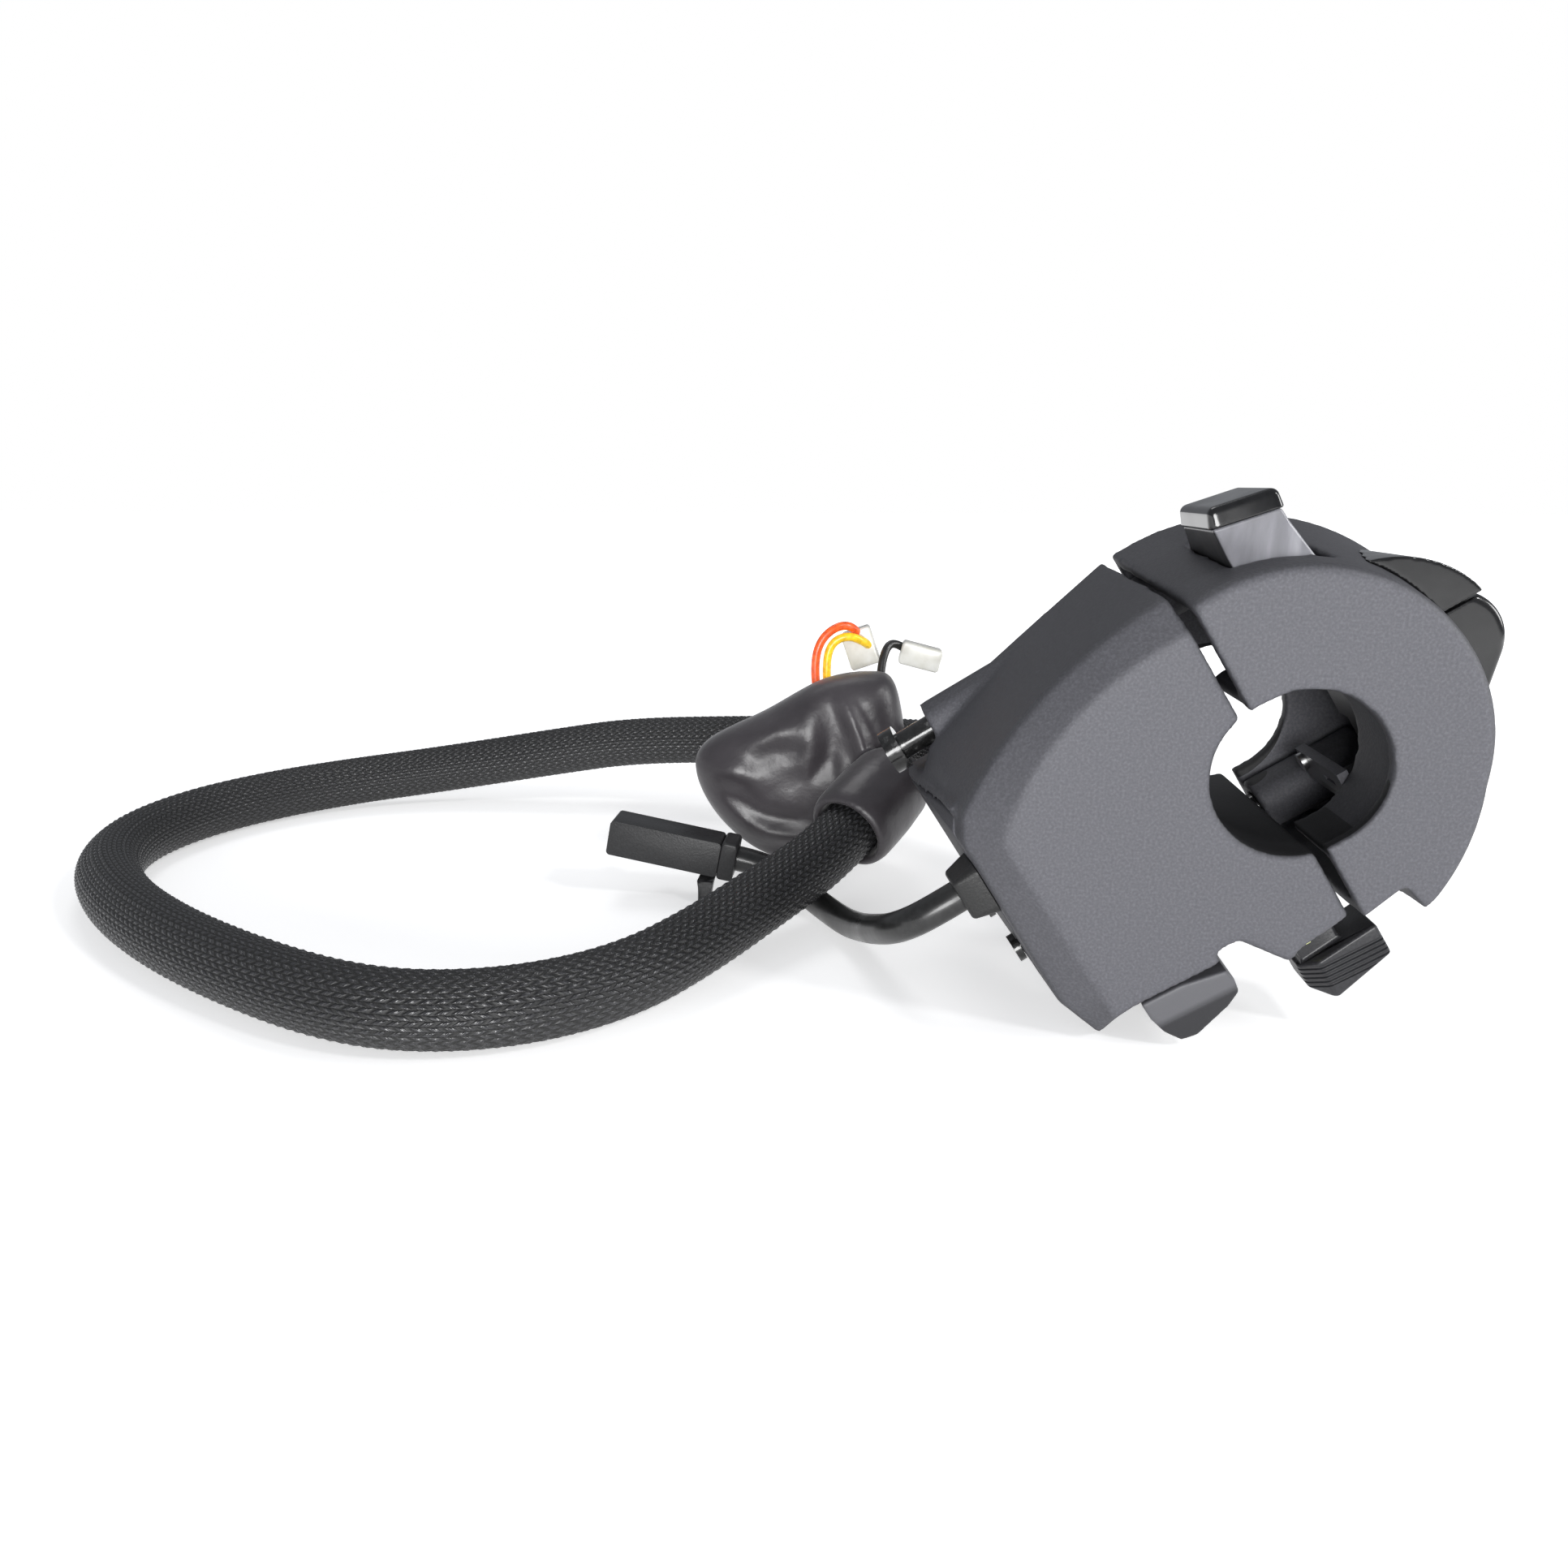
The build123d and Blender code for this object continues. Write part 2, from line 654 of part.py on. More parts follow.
# Contact base of the turn signal and its bracket beside the bore
turn_base_y = (turn_post_y[0][0], turn_post_y[1][1])
turn_base_v = 6.4
bracket_u = (7.7, 9.3)
bracket_v = (-14.6, -8.9)
bracket_near = 15.4
bracket_back = 12.0
bracket_y = (bracket_near, case_length - bracket_back)
bracket_length = bracket_y[1] - bracket_y[0]
foot_shares = (.114, .682)
foot_y = tuple(bracket_near + share * bracket_length for share in foot_shares)
bracket_slot_v = (-11.9, -11.1)
bracket_slot_shares = (.205, .432)
bracket_slot_y = tuple(bracket_near + share * bracket_length for share in bracket_slot_shares)
contact_share = 0.864
contact_y = bracket_near + contact_share * bracket_length
bracket_cut_u = (bracket_u[0] - cut_over, bracket_u[1] + cut_over)
turn_base_cut_u = (turn_base_u[0] - cut_over, turn_base_u[1] + cut_over)
screw_sink = turn_base_u[0] + base_screw_radius
with BuildPart() as turn_base:
    box_between(turn_base_u, (-turn_base_v, turn_base_v), turn_base_y)
    box_between((bracket_u[0], turn_base_u[1]), (bracket_v[0], bracket_v[0] + base_wall), foot_y)
    box_between(turn_base_u, (bracket_v[0], -turn_base_v + base_wall), foot_y)
    for y in turn_post_y:
        rod_along_u(base_screw_radius + pin_gap, turn_base_cut_u, 0, sum(y) / 2, Mode.SUBTRACT)
        rod_along_u(base_screw_head + pin_gap, (turn_base_cut_u[0], screw_sink), 0, sum(y) / 2, Mode.SUBTRACT)
finish(turn_base, "turn_base")
with BuildPart() as turn_bracket:
    box_between(bracket_u, bracket_v, bracket_y)
    box_between(bracket_cut_u, bracket_slot_v, bracket_slot_y, Mode.SUBTRACT)
    box_between(
        bracket_cut_u, (bracket_v[0] - cut_over, bracket_v[0] + base_wall + seat_gap),
        (foot_y[0] - seat_gap, foot_y[1] + seat_gap), Mode.SUBTRACT,
    )
    rod_along_u(contact_radius + pin_gap, bracket_cut_u, contact_v, contact_y, Mode.SUBTRACT)
finish(turn_bracket, "turn_bracket")

# Screws of the contact base, and the contact rivet of the bracket
with BuildPart() as base_screws:
    for y in turn_post_y:
        rod_along_u(base_screw_radius, (turn_base_u[0], turn_base_u[1] + base_screw_reach), 0, sum(y) / 2)
        rod_along_u(base_screw_head, (turn_base_u[0], screw_sink), 0, sum(y) / 2)
finish(base_screws, "base_screws")
with BuildPart() as contact_rivet:
    rod_along_u(contact_radius, (bracket_u[0], bracket_u[1] + slide_gap), contact_v, contact_y)
    rod_along_u(contact_head, (bracket_u[0] - contact_radius, bracket_u[0]), contact_v, contact_y)
finish(contact_rivet, "contact_rivet")

# Stem of the dimmer rocker
with BuildPart() as dimmer_stem:
    with BuildSketch(across(dimmer_back)):
        with BuildLine():
            Polyline(
                (dimmer_left, dimmer_base_right), (dimmer_top_left, dimmer_top_left_v),
                (dimmer_top_right, dimmer_top_right_v), (dimmer_right, dimmer_base_right - dimmer_boss_radius / 2),
                (dimmer_pin_u + dimmer_boss_radius, dimmer_pin_v), (dimmer_pin_u - dimmer_boss_radius, dimmer_pin_v),
                (dimmer_left, dimmer_base_right),
            )
        make_face()
    extrude(amount=dimmer_back - dimmer_front_top)
    with BuildSketch(along_u(0)):
        with BuildLine():
            Polyline(
                (dimmer_front, 0), (dimmer_front, dimmer_base_left + cap_wall), (dimmer_front_top, dimmer_top_left_v),
                (dimmer_back_top, dimmer_top_left_v), (dimmer_back, dimmer_base_left), (dimmer_back, 0),
                (dimmer_front, 0),
            )
        make_face()
    extrude(amount=rear_reach, mode=Mode.INTERSECT)
    rod_along_bar(dimmer_boss_radius, dimmer_pin_u, dimmer_pin_v, (dimmer_front, dimmer_back))
    rod_along_bar(
        dimmer_pin_radius + pin_gap, dimmer_pin_u, dimmer_pin_v,
        (dimmer_front - cut_over, dimmer_back + cut_over), Mode.SUBTRACT,
    )
finish(dimmer_stem, "dimmer_stem")

# Glossy cap of the dimmer, and the pin it turns on
top_run = dimmer_top_right - dimmer_top_left
top_fall = dimmer_top_left_v - dimmer_top_right_v
cap_length = math.hypot(top_run, top_fall)
top_middle = ((dimmer_top_left + dimmer_top_right) / 2, (dimmer_top_left_v + dimmer_top_right_v) / 2)
top_slope = spot(dimmer_top_right, dimmer_top_right_v, 0) - spot(dimmer_top_left, dimmer_top_left_v, 0)
top_plane = Plane(
    origin=spot(*top_middle, (dimmer_front_top + dimmer_back_top) / 2),
    x_dir=top_slope, z_dir=top_slope.cross(Vector(0, 1, 0)),
)
with BuildPart() as dimmer_cap:
    with BuildSketch(top_plane):
        RectangleRounded(cap_length + 2 * cap_lip, dimmer_back_top - dimmer_front_top + 2 * cap_lip, cap_round)
    extrude(amount=cap_wall, taper=cap_taper)
    crown = dimmer_cap.faces().sort_by(lambda f: top_plane.to_local_coords(f.center()).Z)[-1]
    fillet(crown.edges(), cap_round)
finish(dimmer_cap, "dimmer_cap")
pin_over = pin_rib_wall + slide_gap
with BuildPart() as dimmer_pin:
    rod_along_bar(dimmer_pin_radius, dimmer_pin_u, dimmer_pin_v, (dimmer_front - pin_over, dimmer_back + pin_over))
finish(dimmer_pin, "dimmer_pin")

# Contact base under the dimmer, with a spring and ball that click into the stem
detent_radius = 0.8
detent_wall = 0.8
detent_y = 21.5
ball_radius = detent_radius - pin_gap
ball_v = dimmer_pin_v - dimmer_boss_radius - ball_radius - pin_gap
detent_v = (dimmer_base_v[0] + detent_wall, dimmer_pin_v)
with BuildPart() as dimmer_base:
    box_between(dimmer_base_u, dimmer_base_v, dimmer_base_y)
    rod_along_v(detent_radius, dimmer_pin_u, detent_v, detent_y, Mode.SUBTRACT)
finish(dimmer_base, "dimmer_base")
with BuildPart() as dimmer_spring:
    rod_along_v(detent_radius - pin_gap, dimmer_pin_u, (detent_v[0], ball_v - ball_radius), detent_y)
finish(dimmer_spring, "dimmer_spring")
with BuildPart() as dimmer_ball:
    with Locations(spot(dimmer_pin_u, ball_v, detent_y)):
        Sphere(ball_radius)
finish(dimmer_ball, "dimmer_ball")

# Pad and stem of the horn button
horn_left = 8.4
horn_left_back = 11.0
horn_right = 1.3
horn_bottom = -36.9
horn_bevel = 2.6
horn_outline = (
    (-horn_left_back, -30.6), (horn_right, -28.9), (horn_right, -34.1), (-horn_left, horn_bottom),
    (-horn_left_back, -34.8), (-horn_left_back, -30.6),
)
horn_height = 10.0
horn_stem_v = (-32.0, -15.4)
with BuildPart() as horn_button:
    with BuildSketch(across(horn_back)):
        with BuildLine():
            Polyline(*horn_outline)
        make_face()
    extrude(amount=horn_back - horn_front)
    with BuildSketch(along_v(horn_bottom)):
        with BuildLine():
            Polyline(
                (-horn_left, horn_front), (horn_right, horn_front), (horn_right, horn_back),
                (-horn_left_back, horn_back), (-horn_left_back, horn_front + horn_bevel), (-horn_left, horn_front),
            )
        make_face()
    extrude(amount=horn_height, mode=Mode.INTERSECT)
    box_between(horn_stem_u, horn_stem_v, horn_stem_y)
finish(horn_button, "horn_button")
insert_u = (-9.4, -7.6)
insert_v = (-27.9, -25.3)
insert_wall = 0.6
with BuildPart() as horn_insert:
    box_between(insert_u, insert_v, (horn_stem_y[0] - insert_wall, horn_stem_y[0]))
finish(horn_insert, "horn_insert")

# Contact base behind the horn's stem, with its return spring
horn_base_near = horn_stem_y[1] + horn_travel + base_wall
horn_base_depth = 5.0
horn_base_y = (horn_base_near, horn_base_near + horn_base_depth)
horn_base_left = -9.6
horn_base_v = (-19.2, -14.4)
horn_spring_v = -17.4
horn_spring_u = -6.8
horn_spring_radius = 1.3
horn_well = horn_base_y[1] - base_wall
with BuildPart() as horn_base:
    box_between((horn_base_left, -front_setback - running_gap), horn_base_v, horn_base_y)
    rod_along_bar(
        horn_spring_radius, horn_spring_u, horn_spring_v, (horn_base_y[0] - cut_over, horn_well), Mode.SUBTRACT
    )
finish(horn_base, "horn_base")
with BuildPart() as horn_spring:
    rod_along_bar(
        horn_spring_radius - pin_gap, horn_spring_u, horn_spring_v,
        (horn_stem_y[1], horn_well - horn_travel - pin_gap),
    )
    rod_along_bar(
        horn_spring_radius / 2, horn_spring_u, horn_spring_v, (horn_stem_y[1], horn_well), Mode.SUBTRACT
    )
finish(horn_spring, "horn_spring")

# Blade of the pass trigger: shares of the bay's width from its right, and of the blade's depth
blade_depth = 8.6
blade_shares = (
    (.969, .052), (.962, .384), (.908, .686), (.792, .953), (.615, 1), (.162, .779), (-.015, .628),
    (-.038, .384), (-.008, .186), (.492, .052),
)
blade = [(-bay_step - across_share * bay_width, -bay_ceiling - down * blade_depth) for across_share, down in blade_shares]
arm_foot = 1.0
arm_low = blade[0][1] - arm_foot
with BuildPart() as pass_trigger:
    with BuildSketch(across(trigger_end)):
        with BuildLine():
            Polyline(*blade, blade[0])
        make_face()
    extrude(amount=trigger_end - trigger_start)
    with BuildSketch(across(arm_end)):
        with BuildLine():
            Polyline(
                (arm_u[0], arm_low), (trigger_u - trigger_boss_radius, trigger_v),
                (trigger_u + trigger_boss_radius, trigger_v), (arm_u[1], arm_low), (arm_u[0], arm_low),
            )
        make_face()
    extrude(amount=arm_end - arm_start)
    rod_along_bar(trigger_boss_radius, trigger_u, trigger_v, (arm_start, arm_end))
    rod_along_bar(
        trigger_pin_radius + pin_gap, trigger_u, trigger_v, (arm_start - cut_over, arm_end + cut_over), Mode.SUBTRACT
    )
finish(pass_trigger, "pass_trigger")
with BuildPart() as pass_pin:
    rod_along_bar(trigger_pin_radius, trigger_u, trigger_v, (near_wall, pin_far + pin_rib_wall + slide_gap))
finish(pass_pin, "pass_pin")
pass_spring_wall = 1.4
with BuildPart() as pass_spring:
    rod_along_bar(trigger_pin_radius + pass_spring_wall, trigger_u, trigger_v, (arm_end + slide_gap, pin_far))
    rod_along_bar(
        trigger_pin_radius + pin_gap, trigger_u, trigger_v, (arm_end, pin_far + cut_over), Mode.SUBTRACT
    )
finish(pass_spring, "pass_spring")

# Switch beside the trigger's arm, with its small button
pass_switch_sides = (4.9, 10.1)
pass_switch_v = (-15.2, -10.6)
pass_switch_y = (6.0, 14.0)
pass_button_v = (-15.1, -13.9)
pass_button_y = (8.0, 10.0)
pass_button_out = 1.4
pass_switch_u = (trigger_u + pass_switch_sides[0], trigger_u + pass_switch_sides[1])
with BuildPart() as pass_switch:
    box_between(pass_switch_u, pass_switch_v, pass_switch_y)
    box_between((pass_switch_u[0] - pass_button_out, pass_switch_u[0]), pass_button_v, pass_button_y)
finish(pass_switch, "pass_switch")


# Long case screws, the top one part way out
def case_screw(seat_u, v, y, out):
    """Pan head screw along u, its head's seat at u and its shank shorter by how far it is out."""
    rod_along_u(screw_radius, (seat_u, screw_reach - wall - cut_over - out), v, y)
    rod_along_u(screw_head_radius, (seat_u - screw_head_height, seat_u), v, y)


with BuildPart() as case_screws:
    case_screw(-top_seat_u - top_screw_out, top_screw_v, top_screw_y, top_screw_out)
    case_screw(-low_seat_u, low_screw_v, low_screw_y, 0)
finish(case_screws, "case_screws")
with BuildPart() as cover_screws:
    for run, v in cover_screws_at:
        rod_on_flank(cover_screw_radius, run, v, (-cover_wall - wall / 2, slide_gap))
        rod_on_flank(cover_head_radius, run, v, (slide_gap, slide_gap + cover_head_height))
finish(cover_screws, "cover_screws")

# Relief that holds the harness in the far wall
relief_end = case_length + relief_length
with BuildPart() as harness_relief:
    rod_along_bar(relief_neck, relief_at[0], relief_at[1], (case_length - far_wall, case_length))
    rod_along_bar(relief_radius, relief_at[0], relief_at[1], (case_length, relief_end))
finish(harness_relief, "harness_relief")


def bend_radii(points):
    """Arc at each corner of a cord's route: a share of the shorter run over the half turn's tangent."""
    radii = []
    for before, here, after in zip(points, points[1:], points[2:]):
        first = Vector(*here) - Vector(*before)
        second = Vector(*after) - Vector(*here)
        half_turn = math.radians(first.get_angle(second) / 2)
        radii.append(bend_share * min(first.length, second.length) / math.tan(half_turn))
    return radii


bend_share = 0.45


def on_table(x, y, z):
    """Point from its place beside the bore's near end and its height over the table."""
    return (axis_x + x, near_y + y, z)


def cord(name, points, radius):
    """Round cord along its route, with its least bend radius and volume printed."""
    radii = bend_radii(points)
    with BuildPart() as piece:
        with BuildLine() as route:
            path = FilletPolyline(*points, radius=radii)
        with BuildSketch(Plane(origin=path @ 0, z_dir=path % 0)) as section:
            Circle(radius)
        sweep(section.sketch, path=route.line)
    ratio = piece.part.volume / (math.pi * radius ** 2 * path.length)
    print(name, "least bend", round(min(radii), 1), "length", round(path.length, 1), "volume ratio", round(ratio, 4))
    finish(piece, name)
    return piece


# Braided harness, from the relief round the table to the boot
relief_run = 17.0
relief_spot = spot(relief_at[0], relief_at[1], relief_end)
braid_route = (
    (-42.8, 84.5, 24.4), (-53.6, 101.5, 21.4), (-71.5, 113, 19.2), (-94, 119, 17.6), (-119, 121, 16.2),
    (-137.5, 119.8, 13.4), (-155, 119.4, 10.4), (-172.2, 116.6, 8.0), (-188.5, 110, 6.7), (-202.6, 98, 6.2),
    (-212, 81.5, 6.1), (-213.8, 62.5, 6.1), (-206.8, 44.6, 6.1), (-193, 28.4, 6.1), (-175.5, 14.4, 6.1),
    (-157, 3, 6.1), (-136.5, -7, 6.1), (-121, -10.2, 6.1), (-105.6, -6.6, 6.1), (-93.2, 3.2, 6.1),
    (-84.4, 18, 6.6), (-74.6, 34.6, 9.0), (-65.2, 48, 12.2), (-59.5, 57, 16.6),
)
braid_points = [
    (relief_spot.X, relief_spot.Y, relief_spot.Z),
    (relief_spot.X, relief_spot.Y + relief_run, relief_spot.Z),
] + [on_table(*place) for place in braid_route]
mouth = braid_points[-1]
harness_sleeve = cord("harness_sleeve", braid_points, braid_radius)

# Clutch lead, from the grommet under the harness to the clutch switch
switch_tilt = 11.0
lead_exit = 6.0
collar_run = 6.4
lead_spot = flank.offset(grommet_out + seat_gap).from_local_coords(Vector(grommet_middle, -grommet_v, 0))
lead_turn = lead_spot + flank.z_dir * lead_exit
collar_at = on_table(-83.4, 56.6, 7.9)
switch_x = Vector(-math.cos(math.radians(switch_tilt)), 0, math.sin(math.radians(switch_tilt)))
collar_turn = Vector(*collar_at) - switch_x * collar_run
lead_route = (
    (-52.6, 12.1, 12.5), (-55.2, 19.4, 9.2), (-57.8, 27.7, 5.9), (-61.2, 36.5, 3.3), (-65.6, 45.2, 2.7),
    (-70.8, 52.4, 3.8),
)
lead_points = [
    (lead_spot.X, lead_spot.Y, lead_spot.Z),
    (lead_turn.X, lead_turn.Y, lead_turn.Z),
] + [on_table(*place) for place in lead_route] + [(collar_turn.X, collar_turn.Y, collar_turn.Z), collar_at]
clutch_lead = cord("clutch_lead", lead_points, lead_radius)

# Clutch switch: body, collar, plunger and the peg that stands on the table
switch_length = 22.0
switch_height = 7.0
switch_depth = 7.6
switch_round = 0.8
switch_wall = 1.2
collar_length = 3.2
collar_height = 7.6
plunger_radius = 1.65
plunger_travel = 2.5
plunger_out = 3.5
plunger_in = 1.2
plunger_share = 0.6
switch_plane = Plane(origin=collar_at, x_dir=switch_x, z_dir=(0, -1, 0))
plunger_at = (collar_length + plunger_share * switch_length, 0)
with BuildPart() as clutch_collar:
    with BuildSketch(switch_plane):
        with Locations((collar_length / 2, 0)):
            RectangleRounded(collar_length, collar_height, switch_round)
    extrude(amount=switch_depth / 2, both=True)
finish(clutch_collar, "clutch_collar")
with BuildPart() as clutch_switch:
    with BuildSketch(switch_plane):
        with Locations((collar_length + switch_length / 2, 0)):
            Rectangle(switch_length, switch_height)
    extrude(amount=switch_depth / 2, both=True)
    fillet(clutch_switch.edges().filter_by(Axis.Y), switch_round)
    with BuildSketch(switch_plane.offset(switch_depth / 2 - switch_wall)) as well:
        with Locations(plunger_at):
            Circle(plunger_radius + pin_gap)
    extrude(well.sketch, amount=-switch_depth, mode=Mode.SUBTRACT)
finish(clutch_switch, "clutch_switch")
with BuildPart() as clutch_plunger:
    with BuildSketch(switch_plane.offset(-switch_depth / 2 - plunger_out)):
        with Locations(plunger_at):
            Circle(plunger_radius)
    extrude(amount=plunger_out + plunger_in)
finish(clutch_plunger, "clutch_plunger")
clutch_spring_length = switch_depth - switch_wall - plunger_in - plunger_travel - pin_gap
with BuildPart() as clutch_spring:
    with BuildSketch(switch_plane.offset(plunger_in - switch_depth / 2)):
        with Locations(plunger_at):
            Circle(plunger_radius - pin_gap)
            Circle(plunger_radius / 2, mode=Mode.SUBTRACT)
    extrude(amount=clutch_spring_length)
finish(clutch_spring, "clutch_spring")
peg_top = on_table(-89.2, 54.6, 4.4)
peg_foot = on_table(-89.4, 51.8, 0)
peg_foot_radii = (1.2, 0.9)
peg_top_sides = (3.2, 4.0)
with BuildPart() as clutch_peg:
    with BuildSketch(Plane(origin=peg_foot, x_dir=(1, 0, 0), z_dir=(0, 0, 1))):
        Ellipse(*peg_foot_radii)
    with BuildSketch(Plane(origin=peg_top, x_dir=(1, 0, 0), z_dir=(0, 0, 1))):
        Rectangle(*peg_top_sides)
    loft()
finish(clutch_peg, "clutch_peg")

# Soft boot over the end of the harness, a pouch with a neck at its mouth
boot_back = 87.0
boot_depth = 18.0
boot_round = 4.0
neck_radius = 8.6
neck_length = 15.0
neck_lip = 5.0
boot_profile = (
    (-51, 30), (-50.4, 22), (-52.4, 14), (-57, 6), (-64, 1.6), (-72, 0), (-82, 3.6), (-90.5, 11), (-95.5, 20),
    (-93, 26.5), (-80, 33.5), (-68, 40.4), (-58, 42.4), (-53.4, 40.4),
)
boot_plane = Plane(origin=on_table(0, boot_back, 0), x_dir=(1, 0, 0), z_dir=(0, -1, 0))
mouth_plane = Plane(origin=mouth, z_dir=Vector(*mouth) - Vector(*braid_points[-2]))
with BuildPart() as harness_boot:
    with BuildSketch(boot_plane):
        with BuildLine():
            Spline(*boot_profile, periodic=True)
        make_face()
    extrude(amount=boot_depth)
    fillet(harness_boot.edges().group_by(Axis.Y)[0] + harness_boot.edges().group_by(Axis.Y)[-1], boot_round)
    with BuildSketch(mouth_plane.offset(-neck_lip)) as neck:
        Circle(neck_radius)
    extrude(neck.sketch, amount=neck_length + neck_lip)
    with BuildSketch(mouth_plane.offset(-neck_lip - cut_over)) as throat:
        Circle(braid_radius + slide_gap)
    extrude(throat.sketch, amount=neck_lip + cut_over, mode=Mode.SUBTRACT)
finish(harness_boot, "harness_boot")

# Connectors behind the boot's top
wire_radius = 0.9
connector_depth = 5.0
connector_round = 0.8
socket_length = 6.5
socket_height = 8.2
socket_tilt = math.radians(19.3)
plug_length = 8.8
plug_height = 4.8
plug_tilt = math.radians(14.0)
socket_at = on_table(-60.6, 91.0, 45.0)
plug_at = on_table(-47.8, 90, 43.4)
socket_plane = Plane(
    origin=socket_at, x_dir=(math.cos(socket_tilt), 0, math.sin(socket_tilt)), z_dir=(0, -1, 0)
)
with BuildPart() as connector_socket:
    with BuildSketch(socket_plane):
        RectangleRounded(socket_length, socket_height, connector_round)
    extrude(amount=connector_depth / 2, both=True)
finish(connector_socket, "connector_socket")
plug_plane = Plane(origin=plug_at, x_dir=(math.cos(plug_tilt), 0, -math.sin(plug_tilt)), z_dir=(0, -1, 0))
with BuildPart() as connector_plug:
    with BuildSketch(plug_plane):
        RectangleRounded(plug_length, plug_height, connector_round)
    extrude(amount=connector_depth / 2, both=True)
finish(connector_plug, "connector_plug")


def wire(name, places):
    """Thin wire through places beside the boot."""
    return cord(name, [on_table(*place) for place in places], wire_radius)


# Wires that come out of the boot's top
yellow_route = (
    (-66.6, 85, 27), (-67.2, 85.4, 34.6), (-67.8, 85.6, 42.2), (-66.8, 85.8, 46.4), (-63.6, 86, 48.2),
    (-60, 86.8, 47), (-58.2, 90.4, 45),
)
red_route = (
    (-68, 82.8, 26), (-69.2, 83.2, 34), (-70.2, 83.4, 42), (-69, 83.6, 47.4), (-65.4, 84.6, 50.4),
    (-62, 87, 50), (-61, 90.4, 47.6),
)
black_route = (
    (-57.2, 84.2, 20), (-57, 84.2, 29), (-56.4, 85.2, 37.5), (-55.7, 87.4, 44.4), (-53.6, 89.8, 46.8),
    (-50.6, 91, 44.4),
)
wire_yellow = wire("wire_yellow", yellow_route)
wire_red = wire("wire_red", red_route)
wire_black = wire("wire_black", black_route)
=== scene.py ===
import json
import math

import bmesh
import bpy
import numpy as np
from mathutils import Matrix, Vector


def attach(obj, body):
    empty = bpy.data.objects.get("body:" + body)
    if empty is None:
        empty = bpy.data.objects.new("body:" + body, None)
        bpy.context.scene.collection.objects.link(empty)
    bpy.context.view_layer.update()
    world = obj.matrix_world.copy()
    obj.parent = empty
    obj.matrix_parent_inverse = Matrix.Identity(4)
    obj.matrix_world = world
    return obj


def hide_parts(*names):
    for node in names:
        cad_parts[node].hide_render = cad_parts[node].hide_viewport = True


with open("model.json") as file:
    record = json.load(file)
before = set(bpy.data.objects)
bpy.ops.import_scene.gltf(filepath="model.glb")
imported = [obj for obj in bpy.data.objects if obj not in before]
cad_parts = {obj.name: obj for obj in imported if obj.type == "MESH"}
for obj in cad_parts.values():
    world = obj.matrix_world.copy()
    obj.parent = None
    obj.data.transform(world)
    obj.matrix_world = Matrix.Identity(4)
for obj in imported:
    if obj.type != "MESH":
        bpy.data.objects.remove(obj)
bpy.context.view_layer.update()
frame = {"nodes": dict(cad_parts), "record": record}
scene = bpy.context.scene
nodes = frame["nodes"]
bodyOf = {node: body for body, members in frame["record"]["behaviour"]["bodies"].items() for node in members}

mm = 0.001
fullTurn = 2 * math.pi

# The housing's own directions: u across the split, v up along it, y along the bar
housing = {"tilt": math.radians(32.5), "axisX": 11.18, "nearY": -25.0, "axisHeight": 41.0}
alongU = Vector((math.cos(housing["tilt"]), 0, math.sin(housing["tilt"])))
alongV = Vector((-math.sin(housing["tilt"]), 0, math.cos(housing["tilt"])))
alongBar = Vector((0, 1, 0))
boreStart = Vector((housing["axisX"], housing["nearY"], housing["axisHeight"]))


def spot(u, v, y):  # place on the housing, in metres
    return (boreStart + alongU * u + alongV * v + alongBar * y) * mm


def onTable(x, y, z):  # place beside the housing, with its height over the table
    return Vector((housing["axisX"] + x, housing["nearY"] + y, z)) * mm


def shown(name, data):  # a new object in the scene
    piece = bpy.data.objects.new(name, data)
    scene.collection.objects.link(piece)
    return piece


# Camera, close to the end face and a little above it
view = {
    "place": (-55.4, -151.0, 79.1), "right": (0.9959, 0.0899, 0.0), "forward": (-0.0868, 0.9620, -0.2588),
    "lens": 25.73, "sensor": 36.0, "nearest": 5.0,
}
right = Vector(view["right"]).normalized()
forward = Vector(view["forward"]).normalized()
up = right.cross(forward).normalized()
cameraData = bpy.data.cameras.new("camera")
cameraData.lens = view["lens"]
cameraData.sensor_width = view["sensor"]
cameraData.clip_start = view["nearest"] * mm
camera = shown("camera", cameraData)
aim = Matrix((right, up, -forward)).transposed().to_4x4()
camera.matrix_world = Matrix.Translation(onTable(*view["place"])) @ aim
scene.camera = camera
print("camera ready")


